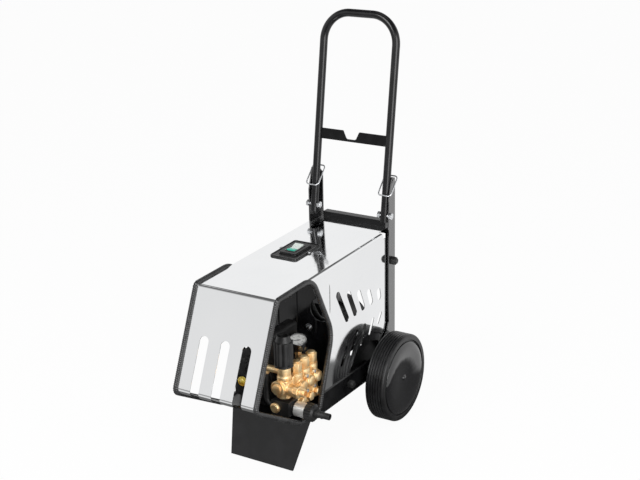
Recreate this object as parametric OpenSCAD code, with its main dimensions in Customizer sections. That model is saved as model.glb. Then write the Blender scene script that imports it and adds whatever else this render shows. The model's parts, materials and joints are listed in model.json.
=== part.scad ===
// Commercial cold-water pressure washer: a polished sheet hood over an electric motor and a
// three-plunger brass pump, on a two-wheeled frame with a fold-down push handle.
// +Z is up, the nose points to -Y and the pump's mouth opens to +X and -X.
// Places are measured from the wheel axle along Y, and at_home() moves them to the origin.

/* [Wheels and axle] */
// Diameter of a wheel over the tread
wheel_d = 250; // [230:2:270]
// Width of a tyre
tyre_w = 58; // [50:1:60]
// Distance from the middle of the machine to the inner side of a tyre
wheel_inner_x = 148; // [146:0.5:156]
// Diameter of the hubcap
hubcap_d = 208; // [190:2:212]
// Diameter of the axle
axle_d = 20; // [16:1:22]

/* [Hood] */
// Width of the hood over its side walls
hood_w = 248; // [236:2:260]
// Thickness of the hood's sheet
hood_t = 1.5; // [1:0.1:2]
// Distance from the axle forward to the fold between top and front
fold_reach = 503; // [480:1:520]
// Height of that fold
fold_z = 513; // [500:1:520]
// Distance from the axle forward to the lip at the foot of the front
lip_reach = 612; // [590:1:630]
// Height of the lip
lip_z = 256; // [240:1:270]
// Rise of the top towards the rear, as a fraction of its length
top_rise = 0.036; // [0:0.001:0.05]
// Distance from the axle back to the rear edge of a side wall
side_rear = 54; // [50:0.5:56]
// Radius of the bend between top and side walls
hood_bend_r = 9; // [4:0.5:12]
// Width of a slot in the front
front_slot_w = 27; // [20:1:32]
// Distance between the slots in the front
front_slot_pitch = 65; // [58:1:72]
// Width of a louvre slot in the side walls
side_slot_w = 12; // [8:0.5:14]

/* [Side mouth] */
// Distance from the axle forward to the mouth's upper rear corner
mouth_top_reach = 343; // [330:1:360]
// Distance from the axle forward to the mouth's rearmost corner
mouth_rear_reach = 250; // [246:1:262]
// Height of the mouth's rearmost corner
mouth_rear_z = 338; // [320:1:350]
// Width of the rubber edge trim across the sheet's edge
trim_w = 14; // [10:0.5:16]
// Depth of the rubber edge trim across the machine
trim_depth = 14; // [10:0.5:15]

/* [Base] */
// Height of the underside of the nose behind the chin
floor_z = 144; // [140:1:148]
// Distance from the axle forward to the chin
chin_reach = 415; // [405:1:425]
// Thickness of the tray's sheet
tray_t = 2.5; // [2:0.1:3]
// Height of a side rail
rail_h = 55; // [48:1:58]
// Thickness of a side rail
rail_t = 3.5; // [3:0.1:4]
// Height of the rails' lower edge
rail_z = 128; // [126:0.5:130]
// Width of the front foot on the ground
foot_w = 198; // [180:2:220]
// Distance from the axle forward to the foot's ground edge
foot_reach = 418; // [400:1:430]
// Distance the foot leans back from ground to tray
foot_lean = 58; // [40:1:70]
// Thickness of the foot's plate
foot_t = 4; // [3:0.5:6]

/* [Uprights and handle] */
// Height of the uprights
upright_z = 680; // [660:2:700]
// Thickness of the uprights' plate
upright_t = 3.5; // [3:0.1:4]
// Distance from the axle back to the uprights' front edge
upright_front = 45; // [43:0.5:47]
// Reach of an upright's rear web towards the middle
web_w = 29; // [24:0.5:30]
// Diameter of the handle's tube
handle_d = 22; // [20:0.5:23]
// Wall of the handle's tube
handle_wall = 2; // [1.5:0.1:3]
// Distance from the middle of the machine to a handle leg
leg_x = 114; // [112:0.5:114.5]
// Distance from the axle back to the handle's pivot
pivot_y = 49.5; // [49:0.1:51]
// Height of the handle's pivot
pivot_z = 576.5; // [565:0.5:590]
// Backward lean of the handle in degrees
handle_lean = 8; // [6:0.1:9]
// Length from the pivot to the middle of the grip's tube
handle_l = 543.5; // [500:1:580]
// Radius of the handle's corners
handle_corner_r = 78; // [60:1:90]
// Diameter of the pivot bolts
bolt_d = 10; // [8:0.5:12]
// Diameter of the lock rings' wire
ring_wire_d = 4; // [3:0.1:4.5]

/* [Motor] */
// Distance of the motor's shaft from the middle of the machine
shaft_x = -20; // [-24:0.5:-16]
// Height of the motor's shaft above the tray
shaft_h = 90; // [88:0.5:94]
// Diameter of the motor's smooth body
motor_d = 160; // [150:1:164]
// Height of the motor's cooling fins
fin_h = 8; // [4:0.5:9]
// Length of the finned body
motor_l = 180; // [160:1:184]
// Distance from the axle forward to the finned body's rear end
motor_rear_reach = 10; // [4:1:20]

/* [Pump] */
// Distance between neighbouring plungers
plunger_pitch = 36; // [35:0.5:38]
// Width of the pump's brass head along the machine
head_l = 113; // [110:1:118]
// Diameter of the pressure regulator's knob
knob_d = 50; // [44:1:52]
// Height of the regulator's knob
knob_h = 84; // [70:1:88]
// Diameter of the pressure gauge
gauge_d = 50; // [44:1:52]
// Diameter of the inlet filter bowl
filter_d = 40; // [36:1:42]
// Length of the inlet filter bowl
filter_l = 32; // [28:1:36]

/* [Hidden] */
$fn = 48;
axle_z = wheel_d / 2;
side_x = hood_w / 2;
seat_gap = 0.05;              // radial clearance of a pin or shaft that turns
near_gap = 0.4;               // clearance between parts that pass each other
far = 900;                    // longer than any cut
slope_deg = atan(top_rise);
function top_z(y) = fold_z + (y + fold_reach) * top_rise;

// Corner of a closed outline, [y, z, radius], turned into the points of its arc
function unit(v) = v / norm(v);
function arc_corner(a, b, c, r) =
    let (u = unit(a - b), w = unit(c - b), half = acos(u * w) / 2)
    r <= 0 || half > 89.5 ? [b] :
    let (centre = b + unit(u + w) * r / sin(half),
         s = b + u * r / tan(half) - centre,
         e = b + w * r / tan(half) - centre,
         sweep = 180 - 2 * half, n = max(2, ceil(sweep / 9)))
    [for (i = [0 : n]) centre + (s * sin(sweep * (1 - i / n)) + e * sin(sweep * i / n)) / sin(sweep)];
function flat(p) = [p[0], p[1]];
function rounded(c) = let (n = len(c))
    [for (i = [0 : n - 1])
        each arc_corner(flat(c[(i + n - 1) % n]), flat(c[i]), flat(c[(i + 1) % n]), c[i][2])];
// The same convex clockwise outline grown outwards by d
function out_normal(a, b) = let (t = unit(b - a)) [-t[1], t[0]];
function grown(c, d) = let (n = len(c))
    [for (i = [0 : n - 1])
        let (p = flat(c[(i + n - 1) % n]), q = flat(c[i]), r = flat(c[(i + 1) % n]),
             n1 = out_normal(p, q), n2 = out_normal(q, r),
             m = q + (n1 + n2) * d / (1 + n1 * n2))
        [m[0], m[1], max(0.5, c[i][2] + d)]];

// The mouth in the side, clockwise from the fold when seen with the nose to the left
mouth = [
    [-fold_reach, fold_z, 12],
    [-mouth_top_reach, top_z(-mouth_top_reach), 60],
    [-mouth_rear_reach, mouth_rear_z, 90],
    [-mouth_rear_reach - 70, floor_z, 14],
    [-chin_reach, floor_z, 30],
    [-lip_reach, lip_z, 16]
];
trim_out = trim_w / 2;
trim_proud = 6;               // how far the trim stands out from a side wall
trim_x1 = side_x + trim_proud;
trim_x0 = trim_x1 - trim_depth;
front_extreme = -min([for (p = rounded(grown(mouth, trim_out))) p[0]]);
handle_top_y = pivot_y + handle_l * sin(handle_lean);
rear_extreme = max(wheel_d / 2, handle_top_y + handle_d / 2);
home_y = (front_extreme - rear_extreme) / 2;
module at_home() { translate([0, home_y, 0]) children(); }

// Shapes used by many parts
module along_x(points, x0, x1) {   // extrudes a side outline from x0 to x1
    translate([x0, 0, 0]) rotate([90, 0, 90]) linear_extrude(x1 - x0) polygon(points);
}
module rod_x(r, x0, x1, y, z) { translate([x0, y, z]) rotate([0, 90, 0]) cylinder(r = r, h = x1 - x0); }
module rod_y(r, y0, y1, x, z) { translate([x, y1, z]) rotate([90, 0, 0]) cylinder(r = r, h = y1 - y0); }
module rod_z(r, z0, z1, x, y) { translate([x, y, z0]) cylinder(r = r, h = z1 - z0); }
module hex_x(flats, x0, x1, y, z) {
    translate([x0, y, z]) rotate([0, 90, 0]) cylinder(r = flats / sqrt(3), h = x1 - x0, $fn = 6);
}
module hex_z(flats, z0, z1, x, y) { translate([x, y, z0]) cylinder(r = flats / sqrt(3), h = z1 - z0, $fn = 6); }
module both_sides() { children(); mirror([1, 0, 0]) children(); }
module block(x0, x1, y0, y1, z0, z1) { translate([x0, y0, z0]) cube([x1 - x0, y1 - y0, z1 - z0]); }

// ---------------------------------------------------------------- hood and rubber trim
tray_low = floor_z + hood_t;
tray_top = tray_low + tray_t;
rail_x0 = side_x;
rail_x1 = side_x + rail_t;
upright_x0 = rail_x1;
upright_x1 = upright_x0 + upright_t;
tube_r = handle_d / 2;
web_y0 = pivot_y + (upright_z - pivot_z) * tan(handle_lean) + tube_r / cos(handle_lean) + 0.5;
web_y1 = web_y0 + upright_t;
hood_rear = web_y0;
lip_return = 26;              // length of the sheet turned under at the lip
chin_unit = unit([lip_reach - chin_reach, floor_z - lip_z]);
function chin_z(y) = lip_z + (y + lip_reach) * chin_unit[1] / chin_unit[0];
hood_outline = [
    [-fold_reach, fold_z, 4],
    [hood_rear, top_z(hood_rear), 0],
    [hood_rear, tray_top, 0],
    [-chin_reach, tray_top, 0],
    [-chin_reach, floor_z, 0],
    [-lip_reach, lip_z, 16]
];
hood_inside = [
    [-fold_reach + hood_t * 0.64, fold_z - hood_t, 2.5],
    [hood_rear + 40, top_z(hood_rear + 40) - hood_t, 0],
    [hood_rear + 40, -40, 0],
    [-lip_reach + lip_return, -40, 0],
    [-lip_reach + lip_return, chin_z(-lip_reach + lip_return) + hood_t / chin_unit[0], 0],
    [-lip_reach + hood_t * 0.9, lip_z + hood_t * 0.7, 14.5]
];
front_dir = unit([fold_reach - lip_reach, lip_z - fold_z]);   // down the front, as [y, z]
front_l = norm([fold_reach - lip_reach, lip_z - fold_z]);
front_tilt = atan2(-front_dir[0], -front_dir[1]);              // angle of the front from upright
slot_top = 124;                                                // from the fold down to a slot's top
notch_y = 24;                                                  // start of the notch beside the uprights
notch_z = top_z(notch_y) - 16;
notch_x = side_x - 14;
notch_r = 18;                 // round of the side wall's upper rear corner

module bent_section(w, r) {   // inverted U section with round top corners, laid along the top
    translate([0, -fold_reach, fold_z]) rotate([slope_deg, 0, 0]) translate([0, fold_reach - lip_reach - far / 10, 0])
        rotate([-90, 0, 0]) linear_extrude(far)
            polygon(rounded([[-w / 2, 0, r], [w / 2, 0, r], [w / 2, fold_z + hood_w, 0], [-w / 2, fold_z + hood_w, 0]]));
}
module slot_side(y0, z0, y1, z1) {   // a louvre slot through both side walls
    v = [y1 - y0, z1 - z0];
    translate([-far / 2, y0, z0]) rotate([atan2(v[1], v[0]), 0, 0]) {
        rotate([0, 90, 0]) cylinder(d = side_slot_w, h = far);
        translate([0, norm(v), 0]) rotate([0, 90, 0]) cylinder(d = side_slot_w, h = far);
        translate([0, 0, -side_slot_w / 2]) cube([far, norm(v), side_slot_w]);
    }
}
upper_slots = [[-221, 436, -172, 346], [-165, 420, -129, 348], [-112, 405, -86, 350],
               [-58, 390, -42, 352], [-3, 374, 3, 351]];
lower_slots = [[-204, 226, -178, 267], [-154, 241, -122, 293], [-100, 251, -78, 296],
               [-53, 265, -34, 298], [-6, 280, 9, 301]];
rail_knob_y = -173;
rail_knob_z = rail_z + 32;
module hood() {
    color("gainsboro") at_home() difference() {
        intersection() {
            along_x(rounded(hood_outline), -side_x, side_x);
            bent_section(hood_w, hood_bend_r);
        }
        intersection() {
            along_x(rounded(hood_inside), -side_x + hood_t, side_x - hood_t);
            translate([0, 0, -hood_t]) bent_section(hood_w - 2 * hood_t, hood_bend_r - hood_t);
        }
        // the mouth leaves the top and the front as edges for the trim to grip
        along_x(rounded(grown(mouth, -hood_t)), -far / 2, far / 2);
        for (i = [-1 : 1]) front_slot(i * front_slot_pitch);
        for (s = upper_slots) slot_side(s[0], s[1], s[2], s[3]);
        for (s = lower_slots) slot_side(s[0], s[1], s[2], s[3]);
        both_sides() block(notch_x, side_x + 1, notch_y, far, notch_z, far);
        both_sides() difference() {
            block(notch_x, side_x + 1, side_rear - notch_r, far, notch_z - notch_r, notch_z + 1);
            rod_x(notch_r, 0, far, side_rear - notch_r, notch_z - notch_r);
        }
        both_sides() block(notch_x, side_x + 1, side_rear, far, 0, far);
        both_sides() rod_x(3 + seat_gap, side_x - 5, side_x + 5, rail_knob_y, rail_knob_z);
        // hole for the body of the switch
        switch_place() block(-switch_hole[0] / 2, switch_hole[0] / 2, -switch_hole[1] / 2,
                             switch_hole[1] / 2, -20, 20);
    }
}
module front_slot(x) {
    r = front_slot_w / 2;
    translate([x, -fold_reach, fold_z]) rotate([-front_tilt, 0, 0]) {
        translate([0, 30, -slot_top - r]) rotate([90, 0, 0]) cylinder(r = r, h = 60);
        translate([-r, -30, -front_l - 6]) cube([front_slot_w, 60, front_l + 6 - slot_top - r]);
    }
}
module trim_ring() {
    edge = 1.5;               // the trim's rounded shoulders, as a step
    difference() {
        union() {
            along_x(rounded(grown(mouth, trim_out - edge)), trim_x0, trim_x1);
            along_x(rounded(grown(mouth, trim_out)), trim_x0 + edge, trim_x1 - edge);
        }
        along_x(rounded(grown(mouth, edge - trim_out)), 0, trim_x0 + edge);
        along_x(rounded(grown(mouth, edge - trim_out)), trim_x1 - edge, far);
        along_x(rounded(grown(mouth, -trim_out)), 0, far);
    }
}
module trim_right() {
    color("dimgray") difference() {
        at_home() trim_ring();
        hood();
        base_tray();
    }
}
module trim_left() {
    color("dimgray") difference() {
        at_home() mirror([1, 0, 0]) trim_ring();
        hood();
        base_tray();
    }
}

// ---------------------------------------------------------------- base
tray_rear = -14;              // rear edge of the tray, ahead of the axle
tray_nose = -lip_reach + 8;   // front edge of the tray, inside the lip
tray_rise = (lip_z - floor_z) / (lip_reach - chin_reach);
function tray_under(y) = chin_z(y) + hood_t / chin_unit[0];
tray_knee = (tray_low - lip_z - hood_t / chin_unit[0]) * chin_unit[0] / chin_unit[1] - lip_reach;
module base_tray() {
    lift = tray_t / chin_unit[0];
    knee_top = tray_knee + tray_t * tan(atan(tray_rise) / 2);
    color("black") at_home() difference() {
        along_x([
            [tray_nose + 6, tray_under(tray_nose + 6)], [tray_knee, tray_low], [tray_rear, tray_low],
            [tray_rear, tray_top], [knee_top, tray_top], [tray_nose + 6, tray_under(tray_nose + 6) + lift]
        ], -side_x, side_x);
        // cooling air slots under the motor
        for (i = [0 : 5]) translate([shaft_x - 40, -150 + i * 20, tray_low - 1]) cube([80, 8, tray_t + 2]);
    }
}
ledge_w = 26;
module rail() {
    difference() {
        union() {
            block(rail_x0, rail_x1, -mouth_rear_reach - 80, web_y1, rail_z, rail_z + rail_h);
            block(rail_x0 - ledge_w, rail_x0, -mouth_rear_reach - 80, tray_rear, tray_low - rail_t, tray_low);
        }
        along_x(rounded(grown(mouth, trim_out)), 0, far);
        rod_x(axle_d / 2, 0, far, 0, axle_z);
        rod_x(3 + seat_gap, 0, far, rail_knob_y, rail_knob_z);
    }
}
module rail_right() { color("black") at_home() rail(); }
module rail_left() { color("black") at_home() mirror([1, 0, 0]) rail(); }

foot_top_y = -foot_reach + foot_lean;
foot_notch = floor_z - trim_out - near_gap;    // the foot's top corners pass under the trim
module front_foot() {
    lean = atan(foot_lean / tray_low);
    thick_y = foot_t / cos(lean);
    color("black") at_home() intersection() {
        union() {
            along_x([[-foot_reach, 0], [foot_top_y, tray_low], [foot_top_y + thick_y, tray_low],
                     [-foot_reach + thick_y, 0]], -side_x, side_x);
            block(-side_x + ledge_w, side_x - ledge_w, foot_top_y, foot_top_y + 46, tray_low - foot_t, tray_low);
        }
        translate([0, far / 2, 0]) rotate([90, 0, 0]) linear_extrude(2 * far) polygon([
            [-foot_w / 2, 0], [foot_w / 2, 0], [side_x, foot_notch - 6], [side_x, foot_notch],
            [trim_x0 - near_gap, foot_notch], [trim_x0 - near_gap, tray_low],
            [near_gap - trim_x0, tray_low], [near_gap - trim_x0, foot_notch], [-side_x, foot_notch],
            [-side_x, foot_notch - 6]]);
    }
}

// ---------------------------------------------------------------- uprights and axle
step_z = 263;                 // below this height the outer flange widens to carry the axle
axle_eye_r = 27;
upright_knob_y = 62;
upright_knob_z = 444;
module upright() {
    difference() {
        union() {
            along_x(rounded([
                [upright_front + 18, upright_z, 3], [web_y1, upright_z, 0], [web_y1, axle_z - 30, 3],
                [axle_eye_r, axle_z - axle_eye_r, 12],
                [-axle_eye_r, axle_z - axle_eye_r, axle_eye_r - 1], [-axle_eye_r, axle_z + axle_eye_r + 20, 20],
                [upright_front - 8, step_z - 20, 10], [upright_front, step_z, 4],
                [upright_front, upright_z - 60, 6]]),
                upright_x0, upright_x1);
            difference() {
                block(upright_x1 - web_w, upright_x1, web_y0, web_y1, rail_z + 60, upright_z);
                translate([upright_x1 - web_w, web_y0 - 1, upright_z]) rotate([0, 45, 0])
                    translate([-10, 0, -10]) cube([20, upright_t + 2, 20]);
            }
        }
        rod_x(axle_d / 2, 0, far, 0, axle_z);
        rod_x(bolt_d / 2, 0, far, pivot_y, pivot_z);
        rod_x(3 + seat_gap, 0, far, upright_knob_y, upright_knob_z);
    }
}
module upright_right() { color("dimgray") at_home() upright(); }
module upright_left() { color("dimgray") at_home() mirror([1, 0, 0]) upright(); }

cross_h = 35;
module cross_member() {
    inner = upright_x1 - web_w;
    z1 = top_z(web_y0) + 16;
    color("black") at_home() union() {
        block(-inner, inner, web_y0, web_y1, z1 - cross_h, z1);
        block(-inner, inner, web_y1, web_y1 + 20, z1 - upright_t, z1);
    }
}

hub_l = 51;                   // length of a wheel's hub
hub_x0 = wheel_inner_x - 5;
hub_x1 = hub_x0 + hub_l;
axle_end = hub_x1 + 5;
module axle() {
    color("silver") at_home() union() {
        rod_x(axle_d / 2, -axle_end, axle_end, 0, axle_z);
        both_sides() rod_x(axle_d / 2 + 6, hub_x1 + near_gap, axle_end, 0, axle_z);
    }
}
module axle_spacers() {
    color("silver") at_home() both_sides() difference() {
        rod_x(axle_d / 2 + 6, upright_x1, hub_x0 - near_gap, 0, axle_z);
        rod_x(axle_d / 2, 0, far, 0, axle_z);
    }
}

// ---------------------------------------------------------------- wheels, about their own axis
rim_r = hubcap_d / 2 - 12;
bead_in = 4;                  // how far the bead stands in from the sidewall
module wheel_place() { at_home() translate([wheel_inner_x, 0, axle_z]) rotate([0, 90, 0]) children(); }
module tyre_shape() {
    r = wheel_d / 2;
    wall = r - hubcap_d / 2;      // rubber between hubcap and tread
    shoulder = hubcap_d / 2 + wall / 7;
    side_in = shoulder + wall / 10;
    groove_pitch = (tyre_w - 18) / 5;
    rotate_extrude($fn = 96) difference() {
        polygon(rounded([
            [rim_r, bead_in, 0], [rim_r, tyre_w - bead_in, 0], [shoulder, tyre_w - bead_in, 0],
            [side_in, tyre_w, wall / 14], [r, tyre_w, wall / 3], [r, 0, wall / 3], [side_in, 0, wall / 14],
            [shoulder, bead_in, 0]]));
        for (i = [0 : 5]) translate([r - wall / 7, 9 + i * groove_pitch - 1]) square([wall, 2]);
    }
}
module rim_shape() {
    rotate_extrude($fn = 96) difference() {
        union() {
            translate([axle_d / 2 + seat_gap, hub_x0 - wheel_inner_x]) square([14, hub_l]);
            translate([axle_d / 2 + seat_gap, 24]) square([rim_r - axle_d / 2 - seat_gap, 5]);
            translate([rim_r - 5, bead_in]) square([5, tyre_w - 2 * bead_in]);
        }
    }
}
module hubcap_shape() {
    r = hubcap_d / 2;
    z = tyre_w - bead_in;
    rotate_extrude($fn = 96) polygon([
        [0, z - 0.5], [rim_r - 30, z + 3], [rim_r - 9, z + 4], [rim_r - 8, z - 4], [rim_r - 5, z - 4],
        [rim_r - 5, z], [r, z], [r, z + 2.5], [r - 4, z + 6], [r - 14, z + 9], [r - 24, z + 9.5],
        [r - 44, z + 8], [30, z + 4], [9, z + 3], [8, z + 4.5], [0, z + 5]]);
}
module tyre_right() { color("dimgray") wheel_place() tyre_shape(); }
module rim_right() { color("black") wheel_place() rim_shape(); }
module hubcap_right() { color("dimgray") wheel_place() hubcap_shape(); }
module tyre_left() { color("dimgray") mirror([1, 0, 0]) wheel_place() tyre_shape(); }
module rim_left() { color("black") mirror([1, 0, 0]) wheel_place() rim_shape(); }
module hubcap_left() { color("dimgray") mirror([1, 0, 0]) wheel_place() hubcap_shape(); }

// ---------------------------------------------------------------- handle, in its own leaning frame
leg_end = -18.5;              // lower end of a leg, measured from the pivot
hook_z = 205;                 // middle of the hook plate above the pivot
hook_h = 30;
module handle_place() { at_home() translate([0, pivot_y, pivot_z]) rotate([-handle_lean, 0, 0]) children(); }
module bent_tube(r) {
    c = handle_corner_r;
    both_sides() {
        rod_z(r, leg_end - (r < tube_r ? 1 : 0), handle_l - c, leg_x, 0);
        translate([leg_x - c, 0, handle_l - c]) rotate([90, 0, 0]) rotate_extrude(angle = 90) translate([c, 0]) circle(r);
    }
    rod_x(r, -leg_x + c, leg_x - c, 0, handle_l);
}
module handle_tube() {
    color("black") handle_place() difference() {
        bent_tube(tube_r);
        bent_tube(tube_r - handle_wall);
        rod_x(bolt_d / 2 + seat_gap, -far, far, 0, 0);
    }
}
module hook_plate() {
    color("black") handle_place() difference() {
        translate([0, 2, 0]) rotate([90, 0, 0]) linear_extrude(4) polygon(rounded([
            [-leg_x, hook_z - hook_h / 2, 0], [-leg_x, hook_z + hook_h / 2, 0], [-34, hook_z + hook_h / 2, 3],
            [-22, hook_z - hook_h / 2 + 7, 8], [8, hook_z - hook_h / 2 + 7, 8], [18, hook_z + hook_h / 2, 3],
            [leg_x, hook_z + hook_h / 2, 0], [leg_x, hook_z - hook_h / 2, 0]]));
        both_sides() rod_z(tube_r, 0, handle_l, leg_x, 0);
    }
}
module pivot_bolts() {
    color("silver") at_home() both_sides() {
        rod_x(bolt_d / 2, leg_x - tube_r - 9, upright_x1 + 7, pivot_y, pivot_z);
        hex_x(17, upright_x1, upright_x1 + 6.5, pivot_y, pivot_z);
        hex_x(17, leg_x - tube_r - 8.5, leg_x - tube_r - 0.5, pivot_y, pivot_z);
    }
}
// Lock rings: closed wire loops that tilt over the top of the upright and ride on the leg
ring_front = [upright_front - 3.5, 636];
ring_rear = [web_y1 + 5, upright_z + 3];
ring_in_x = upright_x1 - web_w - 5;
ring_out_x = upright_x1 + 6;
module lock_ring() {
    run = ring_rear - ring_front;
    length = norm(run);
    c = 9;
    half = (ring_out_x - ring_in_x) / 2;
    wire = ring_wire_d / 2;
    translate([(ring_out_x + ring_in_x) / 2, ring_front[0], ring_front[1]]) rotate([atan2(run[1], run[0]), 0, 0]) {
        for (s = [-1, 1]) {
            translate([s * half, length - c, 0]) rotate([90, 0, 0]) cylinder(r = wire, h = length - 2 * c);
            translate([s * (half - c), length - c, 0]) rotate([0, 0, s > 0 ? 0 : 90])
                rotate_extrude(angle = 90) translate([c, 0]) circle(wire);
            translate([s * (half - c), c, 0]) rotate([0, 0, s > 0 ? 270 : 180])
                rotate_extrude(angle = 90) translate([c, 0]) circle(wire);
        }
        for (y = [0, length]) translate([c - half, y, 0]) rotate([0, 90, 0]) cylinder(r = wire, h = 2 * (half - c));
    }
}
module lock_ring_right() { color("silver") at_home() lock_ring(); }
module lock_ring_left() { color("silver") at_home() mirror([1, 0, 0]) lock_ring(); }

// ---------------------------------------------------------------- hand knobs
module hand_knob(x, y, z, stud) {
    translate([x, y, z]) rotate([0, 90, 0]) {
        translate([0, 0, near_gap]) linear_extrude(12) polygon([for (a = [0 : 10 : 350])
            (12 - 1.6 * (1 - cos(6 * a)) / 2) * [cos(a), sin(a)]]);
        translate([0, 0, 12 + near_gap]) cylinder(r1 = 9, r2 = 7.5, h = 4, $fn = 36);
        translate([0, 0, -stud]) cylinder(r = 3, h = stud + near_gap);
        translate([0, 0, -stud]) cylinder(r = 5.5, h = 5, $fn = 6);
    }
}
module upright_knob_right() { color("black") at_home() hand_knob(upright_x1, upright_knob_y, upright_knob_z, 10); }
module upright_knob_left() { mirror([1, 0, 0]) upright_knob_right(); }
module rail_knob_right() { color("black") at_home() hand_knob(rail_x1, rail_knob_y, rail_knob_z, 11); }
module rail_knob_left() { mirror([1, 0, 0]) rail_knob_right(); }

// ---------------------------------------------------------------- bulkhead between pump and motor
bulk_y = -232;
bulk_t = 2.5;
bell_r = 62;
vent_r = 33;                  // round vent high in the bulkhead, on the pump's side
vent_x = 78;
vent_z = 386;
shaft_z = tray_top + shaft_h;
module bulkhead() {
    w = side_x - hood_t;
    z1 = top_z(bulk_y) - 14;
    color("black") at_home() difference() {
        union() {
            translate([0, bulk_y + bulk_t, 0]) rotate([90, 0, 0]) linear_extrude(bulk_t)
                polygon(rounded([[-w, tray_top, 0], [-w, z1, 10], [w, z1, 10], [w, tray_top, 0]]));
            block(-w + 12, w - 12, bulk_y, bulk_y + 22, z1 - bulk_t, z1);
            both_sides() block(w - bulk_t, w, bulk_y, bulk_y + 16, tray_top, z1 - 12);
            for (x = [-60, 0, 60]) block(x - 3, x + 3, bulk_y - 3, bulk_y, tray_top + 170, z1 - 20);
        }
        rod_y(bell_r + 1, -far, far, shaft_x, shaft_z);
        rod_y(vent_r, -far, far, vent_x, vent_z);
        switch_place() block(-switch_hole[0] / 2 - 3, switch_hole[0] / 2 + 3, -switch_hole[1] / 2 - 3,
                             switch_hole[1] / 2, -30, 20);
    }
}

// ---------------------------------------------------------------- electric motor
motor_r = motor_d / 2;
motor_y1 = -motor_rear_reach;
motor_y0 = motor_y1 - motor_l;
shield_t = 14;
module on_shaft(y) { at_home() translate([shaft_x, y, shaft_z]) rotate([90, 0, 0]) children(); }
module motor_housing() {
    fins = 40;
    // fins all round, except where the feet and the terminal box sit
    function has_fin(i) = let (a = i * 360 / fins) (a < 62 || a > 118) && (a < 205 || a > 335);
    color("dimgray") on_shaft(motor_y1) linear_extrude(motor_l) difference() {
        union() {
            circle(motor_r, $fn = 96);
            for (i = [0 : fins - 1]) if (has_fin(i))
                rotate(i * 360 / fins) translate([motor_r - 2, -1.2]) square([fin_h + 2, 2.4]);
        }
        circle(motor_r - 9, $fn = 96);
    }
}
module motor_feet() {
    foot_l = 28;
    color("dimgray") at_home() for (y = [motor_y0 + 16, motor_y1 - 16 - foot_l]) difference() {
        translate([shaft_x, y + foot_l, 0]) rotate([90, 0, 0]) linear_extrude(foot_l) polygon(rounded([
            [-82, tray_top, 0], [-82, tray_top + 9, 3], [-58, tray_top + 14, 6], [-50, shaft_z - 44, 2],
            [50, shaft_z - 44, 2], [58, tray_top + 14, 6], [82, tray_top + 9, 3], [82, tray_top, 0]]));
        rod_y(motor_r, -far, far, shaft_x, shaft_z);
        block(shaft_x - 30, shaft_x + 30, -far, far, tray_top - 1, tray_top + 5);
    }
}
shaft_r = 12;
module end_shields() {
    color("dimgray") {
        on_shaft(motor_y1 + shield_t) difference() {
            cylinder(r = motor_r + 2, h = shield_t, $fn = 96);
            translate([0, 0, -1]) cylinder(r = shaft_r + seat_gap, h = shield_t + 2);
        }
        on_shaft(motor_y0) difference() {
            cylinder(r = motor_r + 2, h = shield_t, $fn = 96);
            translate([0, 0, -1]) cylinder(r = shaft_r + seat_gap, h = shield_t + 2);
        }
    }
}
cover_l = 48;
cover_r = motor_r + 6;
module fan_cover() {
    color("black") on_shaft(motor_y1 + shield_t + cover_l) difference() {
        union() {
            cylinder(r = cover_r - 5, h = 3, $fn = 96);
            translate([0, 0, 3]) cylinder(r = cover_r, h = cover_l + shield_t - 3, $fn = 96);
        }
        translate([0, 0, 2]) cylinder(r = cover_r - 2, h = cover_l - 2, $fn = 96);
        translate([0, 0, 2]) cylinder(r = motor_r + 2, h = far, $fn = 96);
        for (ring = [0 : 3]) for (a = [0 : 45 : 315]) rotate(a + 5)
            translate([0, 0, -1]) rotate_extrude(angle = 35) translate([22 + ring * 13, 0]) square([6, 5]);
    }
}
fan_r = cover_r - 10;
module motor_rotor() {
    color("silver") {
        on_shaft(motor_y1 + shield_t + 34) union() {
            cylinder(r = shaft_r, h = 34 + shield_t + motor_l + shield_t + 62);
            translate([0, 0, 2]) cylinder(r = 24, h = 26);
            translate([0, 0, 22]) cylinder(r = fan_r, h = 4, $fn = 96);
            for (a = [0 : 45 : 315]) rotate(a) translate([20, -1.5, 4]) cube([fan_r - 22, 3, 20]);
        }
        on_shaft(motor_y1 - 10) cylinder(r = motor_r - 26, h = motor_l - 20, $fn = 96);
    }
}
box_z0 = shaft_z + motor_r - 6;
module terminal_box() {
    color("black") at_home() difference() {
        union() {
            translate([0, -58, 0]) rotate([90, 0, 0]) linear_extrude(84) polygon(rounded([
                [shaft_x - 44, box_z0, 0], [shaft_x - 44, box_z0 + 48, 5], [shaft_x + 44, box_z0 + 48, 5],
                [shaft_x + 44, box_z0, 0]]));
            rod_x(11, shaft_x + 44, shaft_x + 62, -100, box_z0 + 26);
        }
        rod_y(motor_r, -far, far, shaft_x, shaft_z);
        // the fins stand clear of the box
        both_sides_of_shaft() block(25, 60, -200, 0, box_z0 - 20, box_z0 + 3);
        rod_x(5, shaft_x + 54, shaft_x + 70, -100, box_z0 + 26);
    }
}
module both_sides_of_shaft() { translate([shaft_x, 0, 0]) both_sides() children(); }

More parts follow.
